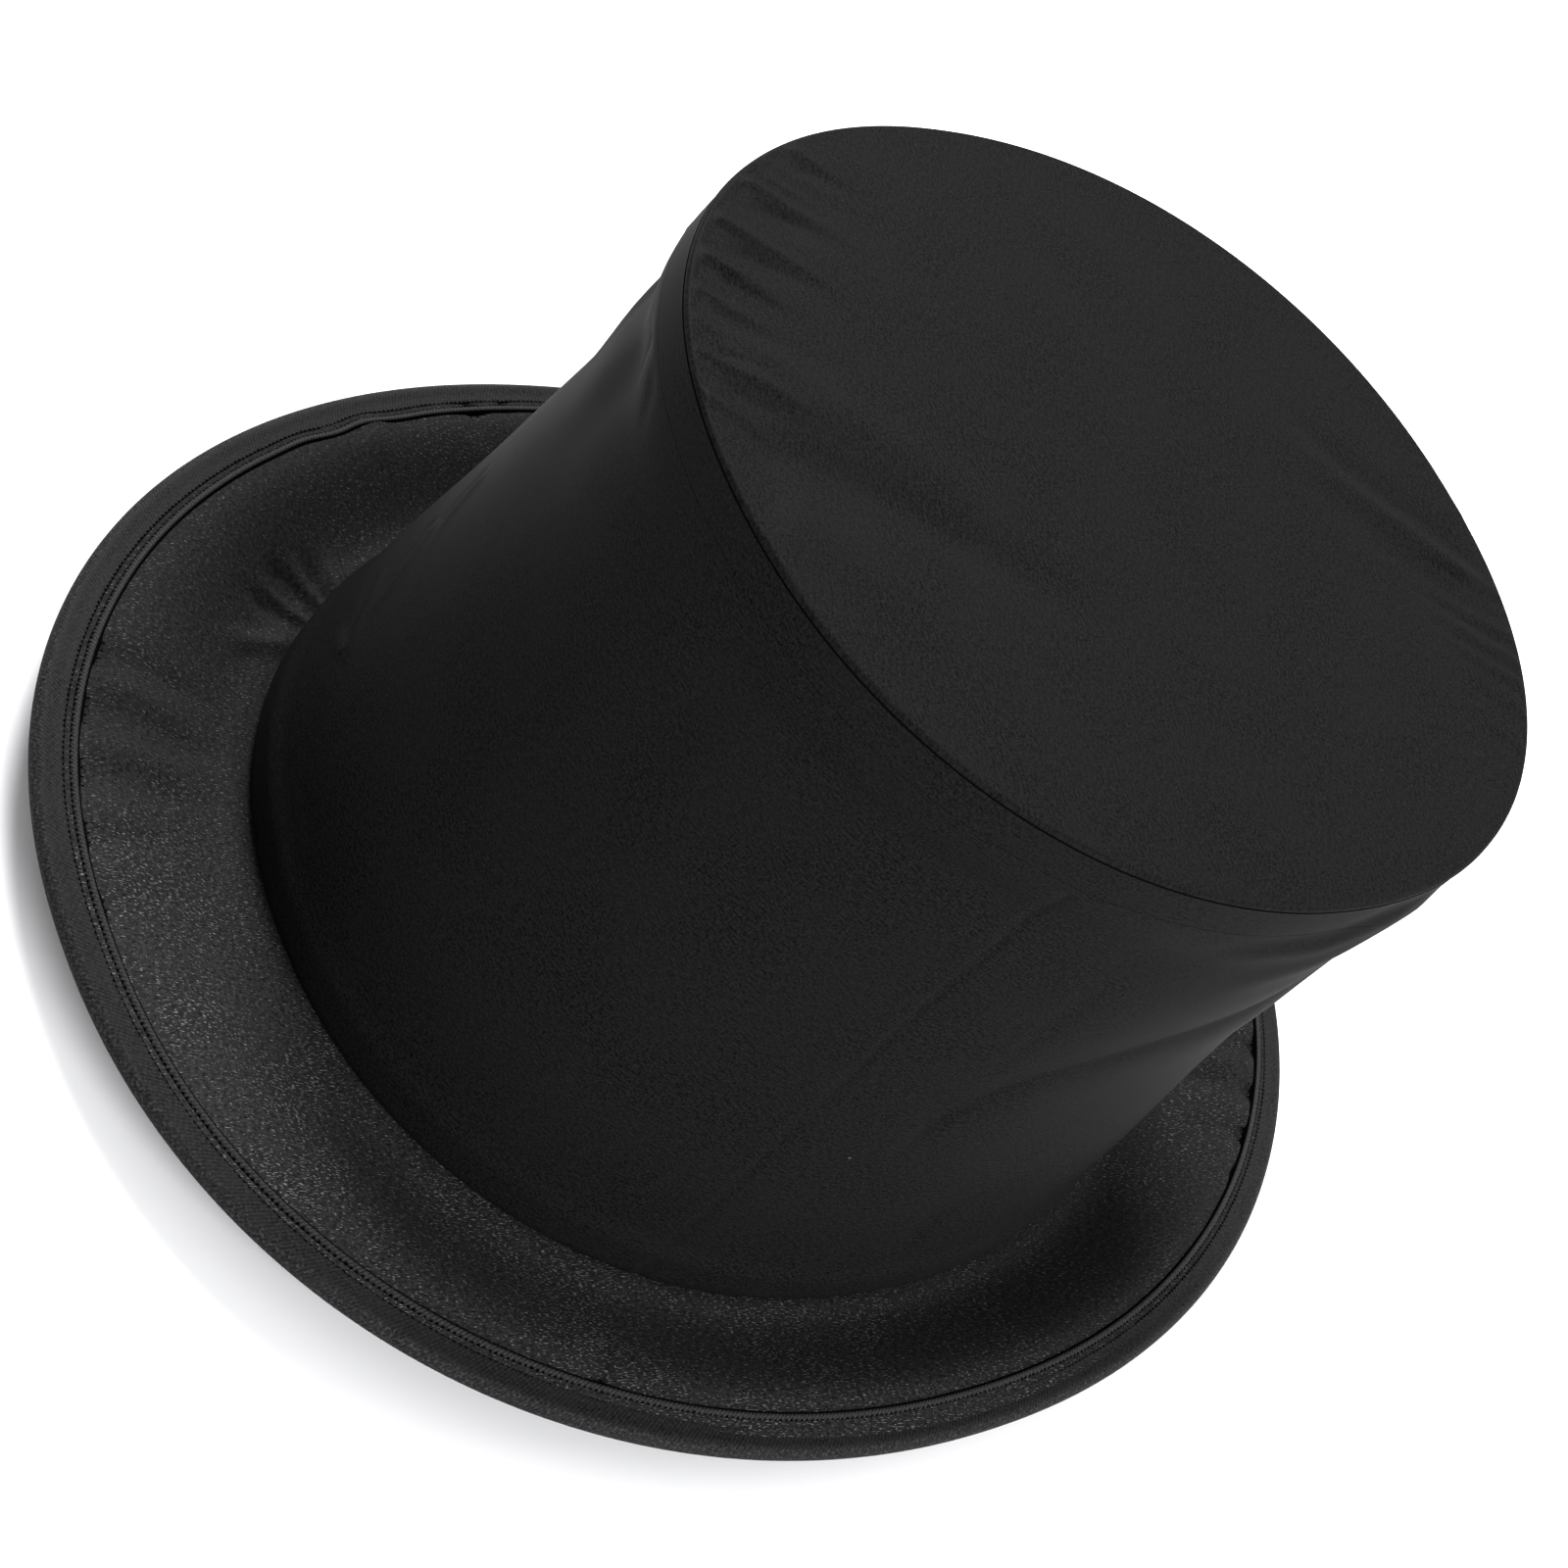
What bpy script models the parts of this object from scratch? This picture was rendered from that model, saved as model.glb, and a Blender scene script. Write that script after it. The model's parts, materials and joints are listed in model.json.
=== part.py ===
"""Folding top hat: an oval fabric crown over a sprung steel frame, on a wired oval brim.

The crown stands on four folding struts. Each strut is two equal flat arms, joined at a sprung knee.
Every knee folds towards the middle of the hat, so the crown drops straight down onto the brim.
Units are metres. +Z is up, +Y is the wearer's front and +X the wearer's right.
The origin is the middle of the head opening, in the plane that the brim rests on.
"""

from math import cos, pi, radians, sin, tau

import bmesh
import bpy
from mathutils import Matrix, Vector
from mathutils.geometry import tessellate_polygon

MM = 0.001

# Driving dimensions. An oval is given by its half width (X) and half length (Y).
HEAD_OVAL = (88.6 * MM, 104.2 * MM)  # outside of the crown wall, where it meets the brim
TIP_OVAL = (81.9 * MM, 94.0 * MM)  # outside of the flat top
BRIM_OVAL = (121.6 * MM, 150.2 * MM)  # outer edge of the brim
CROWN_HEIGHT = 135.5 * MM  # brim surface to flat top
BRIM_THICKNESS = 2.4 * MM
BRIM_RISE = 8.9 * MM  # how far the brim's edge sweeps up
BRIM_BEND = (0.2, 0.75)  # shares of the brim's width between which it sweeps up
WAIST = 3.0 * MM  # how far the wall draws in at half height
ROUNDNESS = 2.1  # exponent of the ovals: 2 is an ellipse, more is squarer

# Stock and clearances
CLOTH = 0.5 * MM
GAP = 0.3 * MM  # between neighbouring pieces
PLY_GAP = 0.2 * MM  # between layers of cloth
BRIM_WIRE_RADIUS = 1.0 * MM
BINDING_WIDTH = 8.5 * MM
BINDING_FOLD = 1.0 * MM  # width and depth of the bevel along the bound edge
TIP_SKIRT = 1.8 * MM  # how far the flat top's cloth turns down over its edge
LOWER_HOOP_HEIGHT = 8.0 * MM
TOP_HOOP_HEIGHT = 7.0 * MM
HOOP_STOCK = 1.0 * MM
SWEATBAND_STOCK = 1.0 * MM

# Struts. A bracket is a plate with a rivet near one end and two ears near the other.
ARM_WIDTH = 6.0 * MM
ARM_STOCK = 1.5 * MM
PIN_RADIUS = 1.0 * MM
HOLE_RADIUS = PIN_RADIUS + 0.25 * MM
HEAD_RADIUS = 2.0 * MM  # of pins and rivets
HEAD_THICKNESS = 0.6 * MM
HEAD_GAP = 0.15 * MM
RIVET_RADIUS = 1.2 * MM
PLATE_STOCK = 0.9 * MM
PLATE_WIDTH = 9.6 * MM
PLATE_END = 3.0 * MM  # from the rivet to the near end of the plate
PLATE_OVERRUN = 1.5 * MM  # from the pivot to the far end of the plate
RIVET_TO_PIVOT = 9.3 * MM
EAR_STOCK = 1.0 * MM
EAR_RADIUS = 3.2 * MM
SPRING_WIRE_RADIUS = 0.35 * MM
SPRING_COIL_RADIUS = 2.1 * MM
SPRING_LENGTH = 2.8 * MM  # the coil fills the space between the two arms at a knee
SPRING_LEG = 7.0 * MM
SPRING_TURNS = 3

# Heights and places that follow from the sizes above
TIP_HEIGHT = BRIM_THICKNESS + CROWN_HEIGHT
HOOP_INSET = CLOTH + GAP
PLATE_INSET = HOOP_INSET + HOOP_STOCK + GAP
PLATE_BACK = PLATE_INSET + PLATE_STOCK
SWEATBAND_INSET = PLATE_BACK + HEAD_THICKNESS + HEAD_GAP + GAP
BRIM_INSET = SWEATBAND_INSET - GAP
LOWER_HOOP_BOTTOM = BRIM_THICKNESS + GAP
LOWER_HOOP_TOP = LOWER_HOOP_BOTTOM + LOWER_HOOP_HEIGHT
TOP_HOOP_TOP = TIP_HEIGHT - CLOTH - GAP
TOP_HOOP_BOTTOM = TOP_HOOP_TOP - TOP_HOOP_HEIGHT
FOOT_RIVET = (LOWER_HOOP_BOTTOM + LOWER_HOOP_TOP) / 2
TOP_RIVET = (TOP_HOOP_BOTTOM + TOP_HOOP_TOP) / 2
FOOT_PIVOT = FOOT_RIVET + RIVET_TO_PIVOT
TOP_PIVOT = TOP_RIVET - RIVET_TO_PIVOT
KNEE = (FOOT_PIVOT + TOP_PIVOT) / 2
WALL_FOOT = LOWER_HOOP_TOP + GAP  # the wall is straight below this height
WALL_HEAD = TIP_HEIGHT - TIP_SKIRT - GAP
PIVOT_INSET = PLATE_BACK + ARM_WIDTH / 2 + 2 * GAP  # from the tip oval
ARM_OFFSET = SPRING_LENGTH / 2 + GAP + ARM_STOCK / 2  # each arm's plane, either side of the spring
CLEVIS_REACH = ARM_STOCK / 2 + GAP + EAR_STOCK  # from an arm's plane to the outside of an ear

STRUTS = {"right": 0, "front": 90, "left": 180, "rear": 270}  # direction from the middle, degrees
OVAL_STEPS = 48
ROUND_STEPS = 12
# A plate on an oval sits on one of its flats, which lies this much closer in than the oval itself.
FLAT = cos(pi / OVAL_STEPS) ** (2 / ROUNDNESS)


# ---------------------------------------------------------------- scene, materials and objects


def clear_scene():
    for obj in list(bpy.data.objects):
        bpy.data.objects.remove(obj)


def make_material(name, grey, roughness, metallic=0.0):
    made = bpy.data.materials.new(name)
    made.use_nodes = True
    shader = made.node_tree.nodes["Principled BSDF"]
    shader.inputs["Base Color"].default_value = (grey, grey, grey, 1)
    shader.inputs["Roughness"].default_value = roughness
    shader.inputs["Metallic"].default_value = metallic
    return made


def make_empty(name, place, direction=0.0):
    """An empty on a joint's axis: its Y axis runs along the hinge, its X axis out of the hat."""
    empty = bpy.data.objects.new(name, None)
    bpy.context.scene.collection.objects.link(empty)
    empty.location = place
    empty.rotation_euler.z = direction
    return empty


def make_object(name, bm, material, parent=None):
    """Turns a bmesh into a named object with outward faces, placed in its parent's axes."""
    bmesh.ops.recalc_face_normals(bm, faces=bm.faces)
    mesh = bpy.data.meshes.new(name)
    bm.to_mesh(mesh)
    bm.free()
    mesh.shade_smooth()
    mesh.set_sharp_from_angle(angle=radians(35))
    obj = bpy.data.objects.new(name, mesh)
    bpy.context.scene.collection.objects.link(obj)
    if material:
        mesh.materials.append(material)
    obj.parent = parent
    return obj


def change_shape(obj, operation, tools):
    """Joins or cuts an object with other shapes, which stay as hidden helpers."""
    for bm in tools:
        helper = make_object(f"{obj.name}_helper", bm, None, obj)
        helper.hide_render = True
        helper.display_type = "WIRE"
        modifier = obj.modifiers.new(operation.title(), "BOOLEAN")
        modifier.operation = operation
        modifier.object = helper


# ---------------------------------------------------------------- shapes that follow the ovals


def inset_oval(oval, inset):
    return (oval[0] - inset, oval[1] - inset)


def mix_ovals(first, second, share):
    return tuple(a + (b - a) * share for a, b in zip(first, second))


def oval_loop(bm, oval, height):
    """One closed loop of vertices round a superellipse, with flats across both axes."""
    power = 2 / ROUNDNESS
    loop = []
    for step in range(OVAL_STEPS):
        turn = tau * (step + 0.5) / OVAL_STEPS
        x, y = cos(turn), sin(turn)
        x = oval[0] * abs(x) ** power * (1 if x > 0 else -1)
        y = oval[1] * abs(y) ** power * (1 if y > 0 else -1)
        loop.append(bm.verts.new((x, y, height)))
    return loop


def bridge(bm, first, second):
    count = len(first)
    for i in range(count):
        j = (i + 1) % count
        bm.faces.new((first[i], first[j], second[j], second[i]))


def oval_ring(name, section, material):
    """A ring round the head opening. Its section is a closed list of (oval, height)."""
    bm = bmesh.new()
    loops = [oval_loop(bm, oval, height) for oval, height in section]
    for first, second in zip(loops, loops[1:] + loops[:1]):
        bridge(bm, first, second)
    return make_object(name, bm, material)


def oval_lid(name, section, material):
    """A lid: the first and last loops of its section are filled with flat faces."""
    bm = bmesh.new()
    loops = [oval_loop(bm, oval, height) for oval, height in section]
    for first, second in zip(loops, loops[1:]):
        bridge(bm, first, second)
    bm.faces.new(loops[0])
    bm.faces.new(loops[-1])
    return make_object(name, bm, material)


def upright_band(oval, inset, stock, bottom, top):
    outer, inner = inset_oval(oval, inset), inset_oval(oval, inset + stock)
    return [(outer, bottom), (outer, top), (inner, top), (inner, bottom)]


# ---------------------------------------------------------------- brim


def brim_profile():
    """Ovals and heights of the brim's underside, from the head opening out to the edge wire."""
    opening = inset_oval(HEAD_OVAL, BRIM_INSET)
    bend_start, bend_end = BRIM_BEND
    profile = [(opening, 0.0)]
    for t in (0, 0.25, 0.75, 1):
        oval = mix_ovals(opening, BRIM_OVAL, bend_start + (bend_end - bend_start) * t)
        profile.append((oval, BRIM_RISE * t * t * (3 - 2 * t)))
    wire_room = CLOTH + PLY_GAP + 2 * BRIM_WIRE_RADIUS + GAP
    profile.append((inset_oval(BRIM_OVAL, wire_room), BRIM_RISE))
    return profile


def brim_layer(low, high):
    """Section of one layer of the brim, between two heights above its underside."""
    profile = brim_profile()
    under = [(oval, rise + low) for oval, rise in profile]
    over = [(oval, rise + high) for oval, rise in reversed(profile)]
    return under + over


def binding_skin(inset, stock):
    """One skin of the binding's section: over the top face, round the edge and back underneath."""
    hem = inset_oval(BRIM_OVAL, BINDING_WIDTH)
    bend = inset_oval(BRIM_OVAL, BINDING_FOLD + inset)
    edge = inset_oval(BRIM_OVAL, inset)
    top = BRIM_RISE + BRIM_THICKNESS
    nose = BINDING_FOLD - PLY_GAP - CLOTH
    upper = [(hem, top + stock), (bend, top + stock), (edge, top - nose)]
    lower = [(edge, BRIM_RISE + nose), (bend, BRIM_RISE - stock), (hem, BRIM_RISE - stock)]
    return upper + lower


def build_brim(cloth, board, steel, tape):
    inside = CLOTH + PLY_GAP
    oval_ring("brim_under_cover", brim_layer(0, CLOTH), cloth)
    oval_ring("brim_board", brim_layer(inside, BRIM_THICKNESS - inside), board)
    oval_ring("brim_top_cover", brim_layer(BRIM_THICKNESS - CLOTH, BRIM_THICKNESS), cloth)

    centre = inset_oval(BRIM_OVAL, inside + BRIM_WIRE_RADIUS)
    height = BRIM_RISE + BRIM_THICKNESS / 2
    section = []
    for side in range(6):
        turn = tau * side / 6
        oval = inset_oval(centre, BRIM_WIRE_RADIUS * cos(turn))
        section.append((oval, height + BRIM_WIRE_RADIUS * sin(turn)))
    oval_ring("brim_wire", section, steel)

    outside = binding_skin(0, inside)
    hollow = binding_skin(CLOTH, PLY_GAP)
    oval_ring("brim_binding", outside + hollow[::-1], tape)


# ---------------------------------------------------------------- crown


def wall_section(inset, levels):
    """Outer and inner lines of a cloth tube, which draws in at the waist of the crown."""
    outside = []
    for height in levels:
        share = (height - WALL_FOOT) / (WALL_HEAD - WALL_FOOT)
        oval = mix_ovals(HEAD_OVAL, TIP_OVAL, share)
        outside.append((inset_oval(oval, inset + WAIST * sin(pi * share) ** 2), height))
    inside = [(inset_oval(oval, CLOTH), height) for oval, height in reversed(outside)]
    return outside + inside


def build_crown_base(satin, lining, steel, leather):
    band = upright_band(HEAD_OVAL, HOOP_INSET, HOOP_STOCK, LOWER_HOOP_BOTTOM, LOWER_HOOP_TOP)
    hoop = oval_ring("lower_hoop", band, steel)
    change_shape(hoop, "DIFFERENCE", rivet_holes(HEAD_OVAL, FOOT_RIVET))

    top = FOOT_PIVOT - EAR_RADIUS - 2 * GAP
    band = upright_band(HEAD_OVAL, SWEATBAND_INSET, SWEATBAND_STOCK, GAP, top)
    oval_ring("sweatband", band, leather)

    # The wall's foot runs straight down over the hoop to the brim. The lining hangs between hoops.
    lining_height = TOP_HOOP_BOTTOM - GAP - WALL_FOOT
    levels = [WALL_FOOT + lining_height * step / 4 for step in range(5)]
    foot = [(inset_oval(HEAD_OVAL, CLOTH), LOWER_HOOP_BOTTOM), (HEAD_OVAL, LOWER_HOOP_BOTTOM)]
    oval_ring("crown_wall", wall_section(0, levels + [WALL_HEAD]) + foot, satin)
    oval_ring("crown_lining", wall_section(CLOTH + PLY_GAP, levels), lining)


def build_crown_top(satin, lining, steel):
    """The pieces that drop when the hat folds, except for the brackets."""
    band = upright_band(TIP_OVAL, HOOP_INSET, HOOP_STOCK, TOP_HOOP_BOTTOM, TOP_HOOP_TOP)
    hoop = oval_ring("top_hoop", band, steel)
    change_shape(hoop, "DIFFERENCE", rivet_holes(TIP_OVAL, TOP_RIVET))

    skirt = TIP_HEIGHT - TIP_SKIRT
    inner = inset_oval(TIP_OVAL, CLOTH)
    lid = [(TIP_OVAL, TIP_HEIGHT), (TIP_OVAL, skirt), (inner, skirt), (inner, TIP_HEIGHT - CLOTH)]
    cover = oval_lid("tip_cover", lid, satin)
    disc = inset_oval(TIP_OVAL, PLATE_BACK + 2 * GAP)
    disc_top = TIP_HEIGHT - CLOTH - PLY_GAP
    backing = oval_lid("tip_lining", [(disc, disc_top), (disc, disc_top - CLOTH)], lining)

    # These pieces hang from an empty on the front strut's top pin, which carries them down.
    pivot = Vector((0, pivot_distance(STRUTS["front"]), TOP_PIVOT))
    carrier = make_empty("crown_top_pivot", pivot)
    for obj in (hoop, cover, backing):
        obj.parent = carrier
        obj.matrix_parent_inverse = Matrix.Translation(-pivot)


# ---------------------------------------------------------------- strut parts
# In these, X points out of the hat, Y runs along the hinge pins and Z is up.


def half_size(oval, degrees):
    """How far an oval's flat lies from the middle, in the direction of a strut."""
    return FLAT * (oval[0] if degrees % 180 == 0 else oval[1])


def pivot_distance(degrees):
    return half_size(inset_oval(TIP_OVAL, PIVOT_INSET), degrees)


def arc(centre, radius, start, end, steps):
    turns = [radians(start + (end - start) * i / steps) for i in range(steps + 1)]
    return [(centre[0] + radius * cos(t), centre[1] + radius * sin(t)) for t in turns]


def flat_plate(outline, holes, middle, stock):
    """A flat plate parallel to the X-Z plane, with pin holes at the given points."""
    rings = [outline]
    for centre in holes:
        rings.append(arc(centre, HOLE_RADIUS, 0, 360, ROUND_STEPS)[:-1])
    triangles = tessellate_polygon([[Vector((x, z, 0)) for x, z in ring] for ring in rings])
    bm = bmesh.new()
    sides = []
    for y in (middle - stock / 2, middle + stock / 2):
        loops = [[bm.verts.new((x, y, z)) for x, z in ring] for ring in rings]
        verts = [vert for loop in loops for vert in loop]
        for triangle in triangles:
            bm.faces.new([verts[i] for i in triangle])
        sides.append(loops)
    for near, far in zip(*sides):
        bridge(bm, near, far)
    return bm


def turned(profile, place, along):
    """A round piece: profile is a list of (radius, distance along the axis) from end to end."""
    axis = Vector(along)
    side = Vector((0, 0, 1))
    other = axis.cross(side)
    bm = bmesh.new()
    loops = []
    for radius, distance in profile:
        centre = Vector(place) + axis * distance
        loop = []
        for step in range(ROUND_STEPS):
            turn = tau * step / ROUND_STEPS
            loop.append(bm.verts.new(centre + radius * (side * cos(turn) + other * sin(turn))))
        loops.append(loop)
    for first, second in zip(loops, loops[1:]):
        bridge(bm, first, second)
    bm.faces.new(loops[0])
    bm.faces.new(loops[-1])
    return bm


def rivet_holes(oval, height):
    """Cutters for the four rivet holes in a hoop."""
    cutters = []
    for degrees in STRUTS.values():
        out = Matrix.Rotation(radians(degrees), 3, "Z") @ Vector((1, 0, 0))
        middle = out * half_size(inset_oval(oval, HOOP_INSET + HOOP_STOCK / 2), degrees)
        profile = [(RIVET_RADIUS + GAP, -2 * HOOP_STOCK), (RIVET_RADIUS + GAP, 2 * HOOP_STOCK)]
        cutters.append(turned(profile, (middle.x, middle.y, height), out))
    return cutters


def build_pin(name, low, high, material, parent):
    """A pin along Y whose heads stand just clear of whatever lies between low and high."""
    neck_low, neck_high = low - HEAD_GAP, high + HEAD_GAP
    profile = [
        (HEAD_RADIUS, neck_low - HEAD_THICKNESS),
        (HEAD_RADIUS, neck_low),
        (PIN_RADIUS, neck_low),
        (PIN_RADIUS, neck_high),
        (HEAD_RADIUS, neck_high),
        (HEAD_RADIUS, neck_high + HEAD_THICKNESS),
    ]
    make_object(name, turned(profile, (0, 0, 0), (0, 1, 0)), material, parent)


def build_bracket(end, side, reach, plane, up, material, parent):
    """A clevis with its rivet and its pin. The origin is the pivot.

    reach is the distance out to the plate, which lies against a hoop. plane is where the arm sits
    along the pin. The rivet is below the pivot if up is 1, and above it if up is -1.
    """
    rivet = -RIVET_TO_PIVOT * up
    bm = bmesh.new()
    size = (PLATE_STOCK, PLATE_WIDTH, PLATE_END + RIVET_TO_PIVOT + PLATE_OVERRUN)
    middle = (reach + PLATE_STOCK / 2, 0, (rivet + (PLATE_OVERRUN - PLATE_END) * up) / 2)
    matrix = Matrix.Translation(middle) @ Matrix.Diagonal((*size, 1))
    bmesh.ops.create_cube(bm, size=1, matrix=matrix)
    bracket = make_object(f"{end}_bracket_{side}", bm, material, parent)

    root = reach + PLATE_STOCK / 2
    outline = arc((0, 0), EAR_RADIUS, 90, 270, 8) + [(root, -EAR_RADIUS), (root, PLATE_OVERRUN / 2)]
    outline = [(x, z * up) for x, z in outline]
    ears = []
    for hand in (-1, 1):
        middle = plane + hand * (CLEVIS_REACH - EAR_STOCK / 2)
        ears.append(flat_plate(outline, [(0, 0)], middle, EAR_STOCK))
    change_shape(bracket, "UNION", ears)
    hole = [(RIVET_RADIUS + GAP, -PLATE_STOCK), (RIVET_RADIUS + GAP, 2 * PLATE_STOCK)]
    change_shape(bracket, "DIFFERENCE", [turned(hole, (reach, 0, rivet), (1, 0, 0))])

    # The rivet's head is on the inside, and its tail ends flush with the outside of the hoop.
    profile = [
        (HEAD_RADIUS, -HEAD_GAP - HEAD_THICKNESS),
        (HEAD_RADIUS, -HEAD_GAP),
        (RIVET_RADIUS, -HEAD_GAP),
        (RIVET_RADIUS, PLATE_STOCK + GAP + HOOP_STOCK),
    ]
    make_object(f"{end}_rivet_{side}", turned(profile, (reach, 0, rivet), (1, 0, 0)), material, parent)
    build_pin(f"{end}_pin_{side}", plane - CLEVIS_REACH, plane + CLEVIS_REACH, material, parent)


def build_arm(name, length, plane, material, parent):
    """A flat strip with round ends, which runs up from its origin and has a hole at each end."""
    radius = ARM_WIDTH / 2
    outline = arc((0, 0), radius, 180, 360, 8) + arc((0, length), radius, 0, 180, 8)
    bm = flat_plate(outline, [(0, 0), (0, length)], plane, ARM_STOCK)
    make_object(name, bm, material, parent)


def spring_path():
    """Centre line of a torsion spring: a leg down one arm, the coil, and a leg up the other."""
    half = SPRING_LENGTH / 2 - SPRING_WIRE_RADIUS
    steps = SPRING_TURNS * 10
    points = [Vector((SPRING_COIL_RADIUS, -half, -SPRING_LEG))]
    for i in range(steps + 1):
        turn = tau * SPRING_TURNS * i / steps
        y = -half + 2 * half * i / steps
        points.append(Vector((SPRING_COIL_RADIUS * cos(turn), y, SPRING_COIL_RADIUS * sin(turn))))
    points.append(Vector((SPRING_COIL_RADIUS, half, SPRING_LEG)))
    return points


def build_spring(name, material, parent):
    points = spring_path()
    bm = bmesh.new()
    loops = []
    for i, point in enumerate(points):
        ahead = points[min(i + 1, len(points) - 1)]
        behind = points[max(i - 1, 0)]
        forward = (ahead - behind).normalized()
        side = forward.cross(Vector((0, 1, 0))).normalized()
        other = forward.cross(side)
        loop = []
        for step in range(5):
            turn = tau * step / 5
            offset = SPRING_WIRE_RADIUS * (side * cos(turn) + other * sin(turn))
            loop.append(bm.verts.new(point + offset))
        loops.append(loop)
    for first, second in zip(loops, loops[1:]):
        bridge(bm, first, second)
    bm.faces.new(loops[0])
    bm.faces.new(loops[-1])
    make_object(name, bm, material, parent)


def build_strut(side, degrees, steel, dark_steel):
    direction = radians(degrees)
    distance = pivot_distance(degrees)
    x, y = distance * cos(direction), distance * sin(direction)
    foot = make_empty(f"{side}_foot_pivot", (x, y, FOOT_PIVOT), direction)
    knee = make_empty(f"{side}_knee", (x, y, KNEE), direction)
    top = make_empty(f"{side}_top_pivot", (x, y, TOP_PIVOT), direction)

    foot_reach = half_size(inset_oval(HEAD_OVAL, PLATE_BACK), degrees) - distance
    top_reach = half_size(inset_oval(TIP_OVAL, PLATE_BACK), degrees) - distance
    build_bracket("foot", side, foot_reach, -ARM_OFFSET, 1, dark_steel, foot)
    build_bracket("top", side, top_reach, ARM_OFFSET, -1, dark_steel, top)
    build_arm(f"lower_arm_{side}", KNEE - FOOT_PIVOT, -ARM_OFFSET, steel, foot)
    build_arm(f"upper_arm_{side}", TOP_PIVOT - KNEE, ARM_OFFSET, steel, knee)
    outside = ARM_OFFSET + ARM_STOCK / 2
    build_pin(f"knee_pin_{side}", -outside, outside, dark_steel, knee)
    build_spring(f"knee_spring_{side}", steel, knee)


def main():
    clear_scene()
    satin = make_material("black_satin", 0.012, 0.5)
    cloth = make_material("black_slub_cloth", 0.02, 0.6)
    tape = make_material("black_ribbed_tape", 0.02, 0.65)
    lining = make_material("black_lining", 0.015, 0.7)
    board = make_material("buckram_board", 0.06, 0.9)
    leather = make_material("sweatband_leather", 0.03, 0.55)
    steel = make_material("spring_steel", 0.35, 0.35, 1.0)
    dark_steel = make_material("blued_steel", 0.12, 0.4, 1.0)

    build_brim(cloth, board, steel, tape)
    build_crown_base(satin, lining, steel, leather)
    build_crown_top(satin, lining, steel)
    for side, degrees in STRUTS.items():
        build_strut(side, degrees, steel, dark_steel)


main()
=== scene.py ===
"""Looks of the folding top hat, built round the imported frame.

Every cloth piece is a fine grid of points on the ovals of the CAD model, with its folds, seams and
stitches as real relief. Lengths are metres, and those written with MM are millimetres.
Angles go round the hat from +X towards +Y. +Y is the wearer's front.
"""

import json
from math import cos, pi, radians, sin, tau

import bpy
import numpy as np
from mathutils import Matrix, Vector


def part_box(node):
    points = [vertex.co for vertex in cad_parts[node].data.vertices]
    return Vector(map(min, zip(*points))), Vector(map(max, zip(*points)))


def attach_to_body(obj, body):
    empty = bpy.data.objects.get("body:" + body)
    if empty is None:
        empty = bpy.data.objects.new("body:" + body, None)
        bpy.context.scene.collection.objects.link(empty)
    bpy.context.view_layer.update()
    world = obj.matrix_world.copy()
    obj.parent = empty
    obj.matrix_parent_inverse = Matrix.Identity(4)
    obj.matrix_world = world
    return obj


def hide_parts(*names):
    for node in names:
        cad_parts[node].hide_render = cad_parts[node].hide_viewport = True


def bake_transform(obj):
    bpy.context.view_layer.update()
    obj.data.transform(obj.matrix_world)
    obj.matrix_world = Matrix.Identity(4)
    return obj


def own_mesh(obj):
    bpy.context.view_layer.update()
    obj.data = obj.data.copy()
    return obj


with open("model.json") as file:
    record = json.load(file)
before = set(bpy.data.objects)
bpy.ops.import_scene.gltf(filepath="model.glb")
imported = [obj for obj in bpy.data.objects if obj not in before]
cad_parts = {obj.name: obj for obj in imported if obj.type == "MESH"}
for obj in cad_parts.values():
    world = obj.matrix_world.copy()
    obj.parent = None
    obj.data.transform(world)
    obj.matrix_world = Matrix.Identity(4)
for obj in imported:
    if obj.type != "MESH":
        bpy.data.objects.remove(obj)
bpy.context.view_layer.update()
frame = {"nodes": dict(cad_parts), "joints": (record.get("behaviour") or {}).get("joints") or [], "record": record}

MM = 0.001

# The frame's ovals. A box spans the flats of a 48-sided superellipse, a little inside the oval.
ROUNDNESS = 2.1
CAD_STEPS = 48
FLAT = cos(pi / CAD_STEPS) ** (2 / ROUNDNESS)


def oval_of(node):
    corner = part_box(node)[1]
    return np.array([corner.x, corner.y]) / FLAT


def bottom_of(node):
    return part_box(node)[0].z


def top_of(node):
    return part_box(node)[1].z


HEAD_OVAL = oval_of("crown_wall")
TIP_OVAL = oval_of("tip_cover")
BRIM_OVAL = oval_of("brim_binding")
BRIM_END_OVAL = oval_of("brim_top_cover")
CLOTH = 0.5 * MM  # thickness of a cloth
PLY_GAP = 0.2 * MM  # between the wall's cloth and its lining
GAP = 0.3 * MM  # between a split in the cloth and the metal next to it
BRIM_THICKNESS = 2.4 * MM
WALL_BOTTOM = bottom_of("crown_wall")
WALL_FOOT = bottom_of("crown_lining")  # the wall is straight below this height
WALL_TOP = top_of("crown_wall")
WALL_HEAD = top_of("tip_cover") - 1.25 * MM  # the seam under the edge of the tip
TIP_TOP = top_of("tip_cover")
BRIM_RISE = top_of("brim_top_cover") - BRIM_THICKNESS
BRIM_BEND = (0.2, 0.75)  # shares of the brim's width between which it sweeps up
BRIM_SWEEP = 0.93  # share of the brim's width that its board reaches
OPENING_OVAL = HEAD_OVAL - 3.75 * MM
SWEATBAND_OVAL = oval_of("sweatband")
WAIST = 3.0 * MM  # how far the wall draws in at half height

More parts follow.
